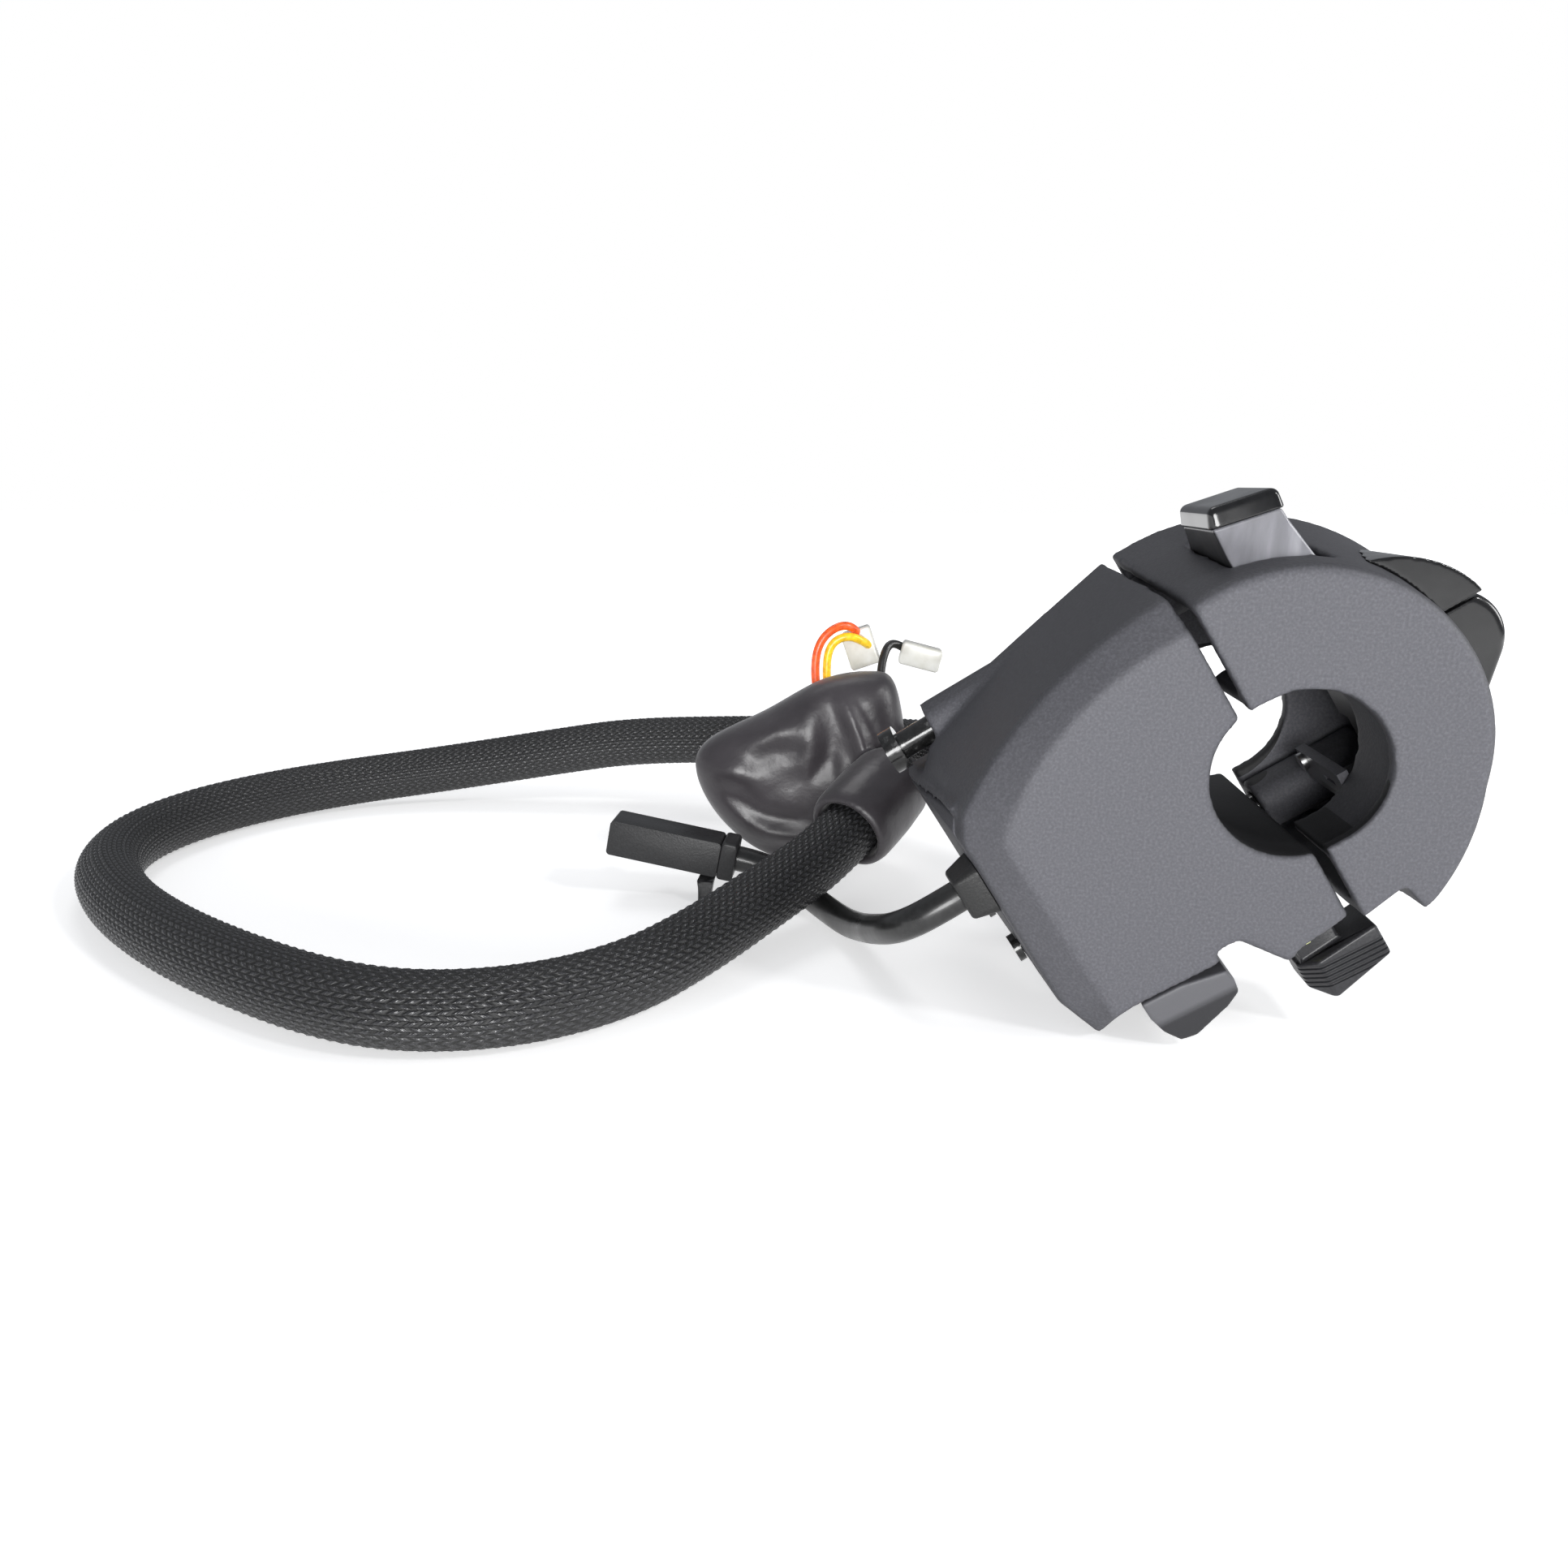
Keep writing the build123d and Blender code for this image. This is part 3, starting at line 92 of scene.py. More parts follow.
# One material with short ways to add nodes to it
class Paint:
    def __init__(self, name, colour, roughness, **inputs):
        self.material = bpy.data.materials.new(name)
        self.material.use_nodes = True
        self.tree = self.material.node_tree
        self.surface = self.tree.nodes["Principled BSDF"]
        self.surface.inputs["Base Color"].default_value = (*colour, 1)
        self.surface.inputs["Roughness"].default_value = roughness
        for socket, value in inputs.items():
            self.surface.inputs[socket.replace("_", " ")].default_value = value
        self.coords = self.tree.nodes.new("ShaderNodeTexCoord")

    def node(self, kind, **values):
        made = self.tree.nodes.new("ShaderNode" + kind)
        for key, value in values.items():
            setattr(made, key, value)
        return made

    def link(self, source, target):
        self.tree.links.new(source, target)

    def maths(self, operation, *values):
        made = self.node("Math", operation=operation)
        for socket, value in zip(made.inputs, values):
            if isinstance(value, bpy.types.NodeSocket):
                self.link(value, socket)
            else:
                socket.default_value = value
        return made.outputs[0]

    def vectors(self, operation, first, second):
        made = self.node("VectorMath", operation=operation)
        self.link(first, made.inputs[0])
        made.inputs[1].default_value = second
        return made

    def noise(self, scale, detail, stretch=None):
        grain = self.node("TexNoise")
        grain.inputs["Scale"].default_value = scale
        grain.inputs["Detail"].default_value = detail
        coords = self.coords.outputs["Object"]
        if stretch:
            mapping = self.node("Mapping")
            mapping.inputs["Scale"].default_value = stretch
            self.link(coords, mapping.inputs["Vector"])
            coords = mapping.outputs["Vector"]
        self.link(coords, grain.inputs["Vector"])
        return grain.outputs["Fac"]

    def ramp(self, source, stops, target):  # stops are places and their colours
        band = self.node("ValToRGB")
        first, *between, last = stops
        for element, (place, colour) in zip(band.color_ramp.elements, (first, last)):
            element.position = place
            element.color = (*colour, 1)
        for place, colour in between:
            band.color_ramp.elements.new(place).color = (*colour, 1)
        self.link(source, band.inputs["Fac"])
        self.link(band.outputs["Color"], self.surface.inputs[target])

    def stretched(self, source, low, high, lowest=0.0, highest=1.0):
        band = self.node("MapRange")
        limits = {"From Min": low, "From Max": high, "To Min": lowest, "To Max": highest}
        for socket, value in limits.items():
            band.inputs[socket].default_value = value
        self.link(source, band.inputs["Value"])
        return band

    def bump(self, height, depth, strength=1.0):
        relief = self.node("Bump")
        relief.inputs["Distance"].default_value = depth * mm
        relief.inputs["Strength"].default_value = strength
        self.link(height, relief.inputs["Height"])
        last = self.surface.inputs["Normal"].links
        if last:
            self.link(last[0].from_socket, relief.inputs["Normal"])
        self.link(relief.outputs["Normal"], self.surface.inputs["Normal"])

    def colourSource(self):
        return self.surface.inputs["Base Color"].links[0].from_socket

    # Painted shade: full tone on faces turned towards a direction, a share of it on the others, as if lit
    # from that direction
    def shadedByFacing(self, direction, low, high, rest, bothEnds=False):
        facing = self.vectors("DOT_PRODUCT", self.coords.outputs["Normal"], direction).outputs["Value"]
        if bothEnds:
            facing = self.maths("ABSOLUTE", facing)
        share = self.stretched(facing, low, high, rest)
        dimmed = self.node("VectorMath", operation="SCALE")
        self.link(self.colourSource(), dimmed.inputs[0])
        self.link(share.outputs["Result"], dimmed.inputs["Scale"])
        self.link(dimmed.outputs["Vector"], self.surface.inputs["Base Color"])

    # Painted shade: another tone inside a cylinder round the bore, past the end face, where light hardly
    # reaches
    def shadedInBore(self, radius, depth, tone):
        offset = self.vectors("SUBTRACT", self.coords.outputs["Object"], boreStart * mm).outputs["Vector"]
        across = self.vectors("MULTIPLY", offset, (1, 0, 1)).outputs["Vector"]
        away = self.node("VectorMath", operation="LENGTH")
        self.link(across, away.inputs[0])
        inwards = self.node("SeparateXYZ")
        self.link(offset, inwards.inputs["Vector"])
        inBore = self.maths("LESS_THAN", away.outputs["Value"], radius * mm)
        pastFace = self.maths("GREATER_THAN", inwards.outputs["Y"], depth * mm)
        mix = self.node("Mix", data_type="RGBA")
        self.link(self.maths("MULTIPLY", inBore, pastFace), mix.inputs["Factor"])
        self.link(self.colourSource(), mix.inputs["A"])
        mix.inputs["B"].default_value = (*tone, 1)
        self.link(mix.outputs["Result"], self.surface.inputs["Base Color"])

    # Edges catch the light as if rounded, under every bump
    def softEdges(self, radius, samples):
        edge = self.node("Bevel", samples=samples)
        edge.inputs["Radius"].default_value = radius * mm
        first = self.surface.inputs["Normal"].links[0].from_node
        while first.inputs["Normal"].links:
            first = first.inputs["Normal"].links[0].from_node
        self.link(edge.outputs["Normal"], first.inputs["Normal"])

    # 0 under a low place and 1 over a high one, measured up along the split
    def upTheSplit(self, low, high):
        height = self.vectors("DOT_PRODUCT", self.coords.outputs["Object"], alongV).outputs["Value"]
        low, high = (spot(0, v, 0).dot(alongV) for v in (low, high))
        return self.stretched(height, low, high).outputs["Result"]


def grey(level, tint=0.0):  # a grey with a slight blue tint
    return (level, level, level * (1 + tint))


def shade(colour, factor):
    return tuple(channel * factor for channel in colour)


# Plastics with a fine spark-eroded grain
grain = {
    "scale": 2600, "waveScale": 260, "detail": 2, "wave": 0.03, "shine": 0.35,
    "stops": ((0.3, 0.84), (0.52, 1.0), (0.72, 1.24)),  # place in the noise, and share of the plain tone
}
grainedFinishes = {
    "caseGrainAndShade": {"colour": grey(0.09, 0.13), "roughness": 0.6, "depth": 0.05},
    "innerPlastic": {"colour": grey(0.02, 0.05), "roughness": 0.4, "depth": 0.03},
    "bracketGrey": {"colour": grey(0.075, 0.12), "roughness": 0.4, "depth": 0.03},
    "blackPlastic": {"colour": grey(0.022, 0.05), "roughness": 0.38, "depth": 0.03},
    "hornBlack": {"colour": grey(0.026, 0.1), "roughness": 0.35, "depth": 0.03},
    "rubberBlack": {"colour": grey(0.017), "roughness": 0.42, "depth": 0.04},
}


def grainedPlastic(name):
    finish = grainedFinishes[name]
    paint = Paint(name, finish["colour"], finish["roughness"], Specular_IOR_Level=grain["shine"])
    fine = paint.noise(grain["scale"], grain["detail"])
    stops = [(place, shade(finish["colour"], share)) for place, share in grain["stops"]]
    paint.ramp(fine, stops, "Base Color")
    paint.bump(fine, finish["depth"])
    paint.bump(paint.noise(grain["waveScale"], grain["detail"]), grain["wave"])
    return paint


# Polished plastics and smooth wire jackets, with faint clouds in tone and polish
gloss = {
    "coatRoughness": 0.08, "toneScale": 900, "toneDetail": 3, "toneStops": ((0.35, 0.8), (0.75, 1.5)),
    "polishScale": 140, "polishDetail": 4, "polishStops": ((0.3, 0.8), (0.8, 1.7)),
}
glossFinishes = {
    "glossBlack": {"colour": grey(0.005, 0.1), "roughness": 0.16, "coat": 0.15},
    "leadJacket": {"colour": grey(0.012), "roughness": 0.3, "coat": 0.15},
    "limePlastic": {"colour": (0.62, 0.66, 0.26), "roughness": 0.35, "coat": 0.1},
    "yellowJacket": {"colour": (0.9, 0.56, 0.02), "roughness": 0.3, "coat": 0.2},
    "redJacket": {"colour": (0.82, 0.1, 0.015), "roughness": 0.3, "coat": 0.2},
}


def glossPlastic(name):
    finish = glossFinishes[name]
    paint = Paint(
        name, finish["colour"], finish["roughness"],
        Coat_Weight=finish["coat"], Coat_Roughness=gloss["coatRoughness"],
    )
    tones = [(place, shade(finish["colour"], share)) for place, share in gloss["toneStops"]]
    paint.ramp(paint.noise(gloss["toneScale"], gloss["toneDetail"]), tones, "Base Color")
    polish = [(place, grey(finish["roughness"] * share)) for place, share in gloss["polishStops"]]
    paint.ramp(paint.noise(gloss["polishScale"], gloss["polishDetail"]), polish, "Roughness")
    return paint


innerPaint, bracketPaint, blackPaint, rubberPaint = (
    grainedPlastic(name) for name in ("innerPlastic", "bracketGrey", "blackPlastic", "rubberBlack")
)
capPaint, leadPaint, limePaint, yellowPaint, redPaint = (glossPlastic(name) for name in glossFinishes)

# The case: painted shade darkens all but its two end faces, as if lit from the front, and painted shade
# makes it black in the bore
caseShading = {
    "facingLow": 0.6, "facingHigh": 0.97, "sides": 0.55,
    "boreRadius": 12.4, "boreDepth": 0.5, "boreShade": grey(0.012, 0.1), "edge": 0.9, "edgeSamples": 6,
}
casePaint = grainedPlastic("caseGrainAndShade")
casePaint.shadedByFacing(
    -alongBar, caseShading["facingLow"], caseShading["facingHigh"], caseShading["sides"], bothEnds=True
)
casePaint.shadedInBore(caseShading["boreRadius"], caseShading["boreDepth"], caseShading["boreShade"])
casePaint.softEdges(caseShading["edge"], caseShading["edgeSamples"])

# The dimmer's stem: light grey with upright streaks, and painted shade darkens its left face
stem = {
    "colour": grey(0.36, 0.1), "roughness": 0.36, "coat": 0.2, "coatRoughness": 0.2,
    "scale": 420, "detail": 4, "stretch": (1.0, 1.0, 0.18), "depth": 0.04,
    "stops": ((0.3, grey(0.14, 0.1)), (0.55, grey(0.19, 0.1)), (0.75, grey(0.28, 0.08))),
    "leftShadeLow": -0.9, "leftShadeHigh": -0.5, "leftShadeShare": 0.06,
}
stemPaint = Paint(
    "stemGrey", stem["colour"], stem["roughness"],
    Coat_Weight=stem["coat"], Coat_Roughness=stem["coatRoughness"],
)
streaks = stemPaint.noise(stem["scale"], stem["detail"], stem["stretch"])
stemPaint.ramp(streaks, stem["stops"], "Base Color")
stemPaint.shadedByFacing(alongU, stem["leftShadeLow"], stem["leftShadeHigh"], stem["leftShadeShare"])
stemPaint.bump(streaks, stem["depth"])

# Plated steel, and the blackened long screws
metalFinishes = {
    "zincScrew": {
        "colour": grey(0.46, 0.03), "roughness": 0.34, "metallic": 1.0, "coat": 0.0,
        "toneScale": 800, "toneDetail": 4,
        "stops": ((0.3, grey(0.22)), (0.6, grey(0.5)), (0.8, grey(0.62))),
        "bumpScale": 1500, "bumpDetail": 2, "depth": 0.02,
    },
    "blackScrew": {
        "colour": grey(0.02), "roughness": 0.2, "metallic": 0.3, "coat": 0.4,
        "toneScale": 700, "toneDetail": 4,
        "stops": ((0.35, grey(0.008)), (0.6, grey(0.02)), (0.78, grey(0.12))),
        "bumpScale": 1100, "bumpDetail": 3, "depth": 0.05,
    },
}


def screwMetal(name):
    finish = metalFinishes[name]
    paint = Paint(
        name, finish["colour"], finish["roughness"], Metallic=finish["metallic"], Coat_Weight=finish["coat"]
    )
    paint.ramp(paint.noise(finish["toneScale"], finish["toneDetail"]), finish["stops"], "Base Color")
    paint.bump(paint.noise(finish["bumpScale"], finish["bumpDetail"]), finish["depth"])
    return paint


steelPaint = screwMetal("zincScrew")
darkSteelPaint = screwMetal("blackScrew")

milky = {
    "colour": (0.8, 0.79, 0.72), "roughness": 0.3, "through": 0.25, "coat": 0.2, "scale": 300, "detail": 3,
    "stops": ((0.3, (0.68, 0.67, 0.6)), (0.7, (0.86, 0.86, 0.82))),
}
milkyPaint = Paint(
    "milkyPlastic", milky["colour"], milky["roughness"],
    Transmission_Weight=milky["through"], Coat_Weight=milky["coat"],
)
milkyPaint.ramp(milkyPaint.noise(milky["scale"], milky["detail"]), milky["stops"], "Base Color")

# Fine ribs across the horn button
ribs = {"low": -34.8, "high": -30.9, "pitch": 0.8, "depth": 0.25}
hornPaint = grainedPlastic("hornBlack")
ribTurns = (ribs["high"] - ribs["low"]) / ribs["pitch"] * fullTurn
ribPhase = hornPaint.maths("MULTIPLY", hornPaint.upTheSplit(ribs["low"], ribs["high"]), ribTurns)
hornPaint.bump(hornPaint.maths("COSINE", ribPhase), ribs["depth"])

# The trigger is grained like the case above, and polished and darker along its lip
trigger = {
    "colour": grey(0.07, 0.06), "roughness": 0.4, "lipLow": -24.4, "lipHigh": -23.2,
    "tones": ((0, grey(0.018, 0.15)), (1, grey(0.085, 0.1))), "polish": ((0, grey(0.2)), (1, grey(0.5))),
    "scale": 2400, "detail": 2, "depth": 0.03,
}
triggerPaint = Paint("triggerTwoTone", trigger["colour"], trigger["roughness"])
lipBand = triggerPaint.upTheSplit(trigger["lipLow"], trigger["lipHigh"])
triggerPaint.ramp(lipBand, trigger["tones"], "Base Color")
triggerPaint.ramp(lipBand, trigger["polish"], "Roughness")
triggerPaint.bump(triggerPaint.noise(trigger["scale"], trigger["detail"]), trigger["depth"])
print("plastics and metals ready")

# Braided sleeve over the harness, in millimetres: rows run along it, floats repeat at the pitch
sleeve = {
    "radius": 5.9, "step": 0.53, "around": 88, "rows": 44, "pitch": 2.0, "relief": 0.2, "ridges": 0.3,
    "ridgeTurns": 1.5, "ridgeTwist": 0.21, "ridgeSway": 0.5, "swayRate": 31,
    "colour": grey(0.012), "roughness": 0.3, "shine": 0.6,
    "slant": 0.55, "shift": 0.25, "roundness": 0.6, "endPower": 3, "threads": 4, "threadHeight": 0.08,
    "tones": ((0.15, grey(0.002)), (0.6, grey(0.013, 0.1)), (1, grey(0.03, 0.1))),
    "polish": ((0.2, grey(0.6)), (0.8, grey(0.27))), "depth": 0.22, "strength": 0.9,
}
reliefSpot = spot(-40.2, 9.7, 50.0)  # mouth of the rubber relief in the housing
braidRoute = [reliefSpot, reliefSpot + alongBar * 17 * mm] + [onTable(*place) for place in (
    (-42.8, 84.5, 24.4), (-53.6, 101.5, 21.4), (-71.5, 113, 19.2), (-94, 119, 17.6), (-119, 121, 16.2),
    (-137.5, 119.8, 13.4), (-155, 119.4, 10.4), (-172.2, 116.6, 8.0), (-188.5, 110, 6.7), (-202.6, 98, 6.2),
    (-212, 81.5, 6.1), (-213.8, 62.5, 6.1), (-206.8, 44.6, 6.1), (-193, 28.4, 6.1), (-175.5, 14.4, 6.1),
    (-157, 3, 6.1), (-136.5, -7, 6.1), (-121, -10.2, 6.1), (-105.6, -6.6, 6.1), (-93.2, 3.2, 6.1),
    (-84.4, 18, 6.6), (-74.6, 34.6, 9.0), (-65.2, 48, 12.2), (-59.5, 57, 16.6),
)]


# Rows of slanted floats that lean the other way in each next row
def braidPaint():
    paint = Paint("braidedSleeve", sleeve["colour"], sleeve["roughness"], Specular_IOR_Level=sleeve["shine"])
    parts = paint.node("SeparateXYZ")
    paint.link(paint.coords.outputs["UV"], parts.inputs["Vector"])
    along = paint.maths("DIVIDE", parts.outputs["X"], sleeve["pitch"] * mm)
    rows = paint.maths("MULTIPLY", parts.outputs["Y"], sleeve["rows"])
    across = paint.maths("SUBTRACT", paint.maths("FRACT", rows), 0.5)
    parity = paint.maths("MODULO", paint.maths("FLOOR", rows), 2)
    lean = paint.maths("SUBTRACT", paint.maths("MULTIPLY", parity, 2), 1)
    slanted = paint.maths("MULTIPLY", across, sleeve["slant"])
    shift = paint.maths("MULTIPLY", lean, paint.maths("ADD", slanted, sleeve["shift"]))
    phase = paint.maths("ADD", along, shift)
    wave = paint.maths("COSINE", paint.maths("MULTIPLY", phase, fullTurn))
    crown = paint.maths("POWER", paint.maths("MULTIPLY_ADD", wave, 0.5, 0.5), sleeve["roundness"])
    edge = paint.maths("ABSOLUTE", paint.maths("MULTIPLY", across, 2))
    ends = paint.maths("SUBTRACT", 1, paint.maths("POWER", edge, sleeve["endPower"]))
    height = paint.maths("MULTIPLY", crown, ends)
    threads = paint.maths("COSINE", paint.maths("MULTIPLY", phase, fullTurn * sleeve["threads"]))
    threads = paint.maths("MULTIPLY", threads, sleeve["threadHeight"])
    # Painted shade: the floats' colour is darkest in the hollows between them and lightest on their crowns
    paint.ramp(height, sleeve["tones"], "Base Color")
    paint.ramp(height, sleeve["polish"], "Roughness")
    paint.bump(paint.maths("ADD", height, threads), sleeve["depth"], sleeve["strength"])
    return paint


def cordCurve(name, points, radius):
    data = bpy.data.curves.new(name, "CURVE")
    data.dimensions = "3D"
    data.resolution_u = 16
    data.bevel_depth = radius * mm
    data.bevel_resolution = 7
    data.use_fill_caps = True
    spline = data.splines.new("NURBS")
    spline.points.add(len(points) - 1)
    for point, place in zip(spline.points, points):
        point.co = (*place, 1)
    spline.order_u = 3
    spline.use_endpoint_u = True
    return shown(name, data)


# Points along the cord's own spline
def routeLine(piece):
    data = piece.data.copy()
    data.bevel_depth = 0
    data.resolution_u = 40
    bare = bpy.data.objects.new("bareRoute", data)
    mesh = bpy.data.meshes.new_from_object(bare)
    line = np.array([vertex.co for vertex in mesh.vertices], float)
    bpy.data.objects.remove(bare)
    return line


def lengthOf(line):
    return float(np.linalg.norm(np.diff(line, axis=0), axis=1).sum())


# The same line in even steps, and how far along it each point lies
def evenly(line, step):
    lengths = np.concatenate([[0], np.cumsum(np.linalg.norm(np.diff(line, axis=0), axis=1))])
    wanted = np.linspace(0, lengths[-1], int(round(lengths[-1] / step)) + 1)
    return np.stack([np.interp(wanted, lengths, line[:, axis]) for axis in range(3)], 1), wanted


# Two directions square to the line at each point, carried along it without twist
def carriedFrames(line):
    tangents = np.gradient(line, axis=0)
    tangents /= np.linalg.norm(tangents, axis=1)[:, None]
    side = np.cross(tangents[0], (0, 0, 1.0))
    sides = []
    for tangent in tangents:
        side = side - tangent * side.dot(tangent)
        side /= np.linalg.norm(side)
        sides.append(side)
    return np.array(sides), np.cross(tangents, sides)


# Radius of the sleeve: its rows stand out, and the wires in it show as soft ridges
def sleeveRadius(along, turn):
    rows = turn * sleeve["rows"]
    crest = 0.5 - 0.5 * np.cos(fullTurn * rows)
    wave = np.cos(fullTurn * along / (sleeve["pitch"] * mm) + math.pi * (np.floor(rows) % 2 - 0.5))
    relief = sleeve["relief"] * (crest * (0.75 + 0.5 * wave) - 1)
    sway = sleeve["ridgeSway"] * np.sin(along * sleeve["swayRate"])
    wires = np.abs(np.sin(sleeve["ridgeTurns"] * fullTurn * turn + along / sleeve["ridgeTwist"] + sway))
    return (sleeve["radius"] + relief + sleeve["ridges"] * (wires - 1)) * mm


# A flat grid is rolled round the route, its seam merged and its ends closed
def wovenSleeve(name, line):
    line, lengths = evenly(line, sleeve["step"] * mm)
    sides, tops = carriedFrames(line)
    rings, around = len(line), sleeve["around"]
    work = bmesh.new()
    weave = work.loops.layers.uv.new("weave")
    bmesh.ops.create_grid(work, x_segments=rings - 1, y_segments=around, size=1)
    flat = np.array([vertex.co for vertex in work.verts])
    ring = np.round((flat[:, 0] + 1) / 2 * (rings - 1)).astype(int)
    turn = np.round((flat[:, 1] + 1) / 2 * around) / around
    angle = (turn * fullTurn)[:, None]
    outwards = sides[ring] * np.cos(angle) + tops[ring] * np.sin(angle)
    places = line[ring] + outwards * sleeveRadius(lengths[ring], turn)[:, None]
    for vertex, place in zip(work.verts, places):
        vertex.co = place
    work.verts.index_update()
    for face in work.faces:
        face.smooth = True
        for loop in face.loops:
            index = loop.vert.index
            loop[weave].uv = (lengths[ring[index]], turn[index])
    bmesh.ops.remove_doubles(work, verts=work.verts, dist=0.001 * mm)
    bmesh.ops.holes_fill(work, edges=[edge for edge in work.edges if edge.is_boundary])
    bmesh.ops.recalc_face_normals(work, faces=work.faces)
    mesh = bpy.data.meshes.new(name)
    work.to_mesh(mesh)
    work.free()
    return shown(name, mesh), line


def standsFor(piece, node, paint):  # body, replaced node, slot and finish in one go
    piece.data.materials.clear()
    piece.data.materials.append(paint.material)
    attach(piece, bodyOf[node])
    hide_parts(node)
    return piece


bareBraid = cordCurve("braidRoute", braidRoute, sleeve["radius"])
braid, braidPath = wovenSleeve("braidedHarness", routeLine(bareBraid))
bpy.data.objects.remove(bareBraid)
standsFor(braid, "harness_sleeve", braidPaint())
print("braid ready, length", round(lengthOf(braidPath), 4))

# Clutch lead: out of the grommet in the flank, over the table to its switch
flank = {"near": {"u": -43.4, "y": 4.0}, "far": {"u": -49.2, "y": 45.0}}  # its line from end to end
lead = {
    "radius": 2.5, "run": 7.0, "v": 4.6, "out": 4.22, "exit": 6.0,
    "switchTilt": math.radians(11.0), "switchRun": 6.4, "collar": (-83.4, 56.6, 7.9),
}


def onFlank(run, v, out):  # place on the flank, in metres
    start, end = (spot(flank[side]["u"], v, flank[side]["y"]) for side in ("near", "far"))
    alongFlank = (end - start).normalized()
    outwards = alongV.cross(alongFlank)
    return start + (alongFlank * run + outwards * out) * mm


collarAt = onTable(*lead["collar"])
switchWay = Vector((-math.cos(lead["switchTilt"]), 0, math.sin(lead["switchTilt"])))
leadStart = [onFlank(lead["run"], lead["v"], lead["out"] + out) for out in (0, lead["exit"])]
leadRoute = leadStart + [onTable(*place) for place in (
    (-52.6, 12.1, 12.5), (-55.2, 19.4, 9.2), (-57.8, 27.7, 5.9), (-61.2, 36.5, 3.3), (-65.6, 45.2, 2.7),
    (-70.8, 52.4, 3.8),
)] + [collarAt - switchWay * lead["switchRun"] * mm, collarAt]

# Three short wires from the boot to the two connectors
wireRadius = 0.9
wirePoints = {
    "yellow": (
        (-66.6, 85, 27), (-67.2, 85.4, 34.6), (-67.8, 85.6, 42.2), (-66.8, 85.8, 46.4), (-63.6, 86, 48.2),
        (-60, 86.8, 47), (-58.2, 90.4, 45),
    ),
    "red": (
        (-68, 82.8, 26), (-69.2, 83.2, 34), (-70.2, 83.4, 42), (-69, 83.6, 47.4), (-65.4, 84.6, 50.4),
        (-62, 87, 50), (-61, 90.4, 47.6),
    ),
    "black": (
        (-57.2, 84.2, 20), (-57, 84.2, 29), (-56.4, 85.2, 37.5), (-55.7, 87.4, 44.4), (-53.6, 89.8, 46.8),
        (-50.6, 91, 44.4),
    ),
}
wirePaints = {"yellow": yellowPaint, "red": redPaint, "black": leadPaint}
leadPiece = standsFor(cordCurve("clutchLead", leadRoute, lead["radius"]), "clutch_lead", leadPaint)
wires = {}
for colour, points in wirePoints.items():
    route = [onTable(*place) for place in points]
    wires[colour] = standsFor(
        cordCurve(colour + "Wire", route, wireRadius), "wire_" + colour, wirePaints[colour]
    )
print("thin cords ready")

# Rigid pieces: copies of the CAD nodes with rounded edges
merging = {"distance": 0.002, "angle": math.radians(0.6)}
skins = {  # cell of a fine skin in mm, and rounds of smoothing: pieces moulded all over
    "front_case": (0.56, 6), "rear_case": (0.5, 5), "dimmer_cap": (0.14, 22), "turn_knob": (0.2, 8),
    "turn_bezel": (0.25, 5), "pass_trigger": (0.22, 14),
}
bevels = {  # width in mm and segments of the rounding: pieces with plain sharp forms
    "front_cover": (0.35, 2), "dimmer_stem": (0.5, 3), "horn_button": (0.5, 3), "cable_grommet": (0.5, 3),
    "harness_relief": (0.6, 3), "clutch_switch": (0.4, 3), "clutch_collar": (0.4, 3), "clutch_peg": (0.3, 3),
    "connector_socket": (0.4, 3), "connector_plug": (0.4, 3),
}
rigidPaints = {
    "front_case": casePaint, "front_cover": casePaint, "rear_case": casePaint, "dimmer_stem": stemPaint,
    "dimmer_cap": capPaint, "turn_knob": capPaint, "turn_bezel": capPaint, "horn_button": hornPaint,
    "pass_trigger": triggerPaint, "cable_grommet": rubberPaint, "harness_relief": rubberPaint,
    "clutch_switch": blackPaint, "clutch_collar": blackPaint, "clutch_peg": blackPaint,
    "connector_socket": milkyPaint, "connector_plug": milkyPaint,
}


def mergedCopy(node, paint):
    work = bmesh.new()
    work.from_mesh(nodes[node].data)
    bmesh.ops.remove_doubles(work, verts=work.verts, dist=merging["distance"] * mm)
    bmesh.ops.dissolve_limit(
        work, angle_limit=merging["angle"], verts=work.verts, edges=work.edges, delimit={"NORMAL"}
    )
    for part in (*work.faces, *work.edges):
        part.smooth = True
    first, *others = node.split("_")
    name = first + "".join(word.title() for word in others)
    mesh = bpy.data.meshes.new(name)
    work.to_mesh(mesh)
    work.free()
    return standsFor(shown(name, mesh), node, paint)


def addSkin(piece, cell, rounds):
    skin = piece.modifiers.new("skin", "REMESH")
    skin.mode = "VOXEL"
    skin.voxel_size = cell * mm
    skin.use_smooth_shade = True
    settle = piece.modifiers.new("settle", "SMOOTH")
    settle.factor = 0.5
    settle.iterations = rounds


def addRounding(piece, width, segments):
    bevel = piece.modifiers.new("rounding", "BEVEL")
    bevel.width = width * mm
    bevel.segments = segments
    bevel.limit_method = "ANGLE"
    bevel.angle_limit = math.radians(30)
    bevel.harden_normals = True
    bevel.use_clamp_overlap = True


rigid = {}
for node, paint in rigidPaints.items():
    rigid[node] = mergedCopy(node, paint)
    if node in skins:
        addSkin(rigid[node], *skins[node])
    else:
        addRounding(rigid[node], *bevels[node])
print("rigid pieces ready")

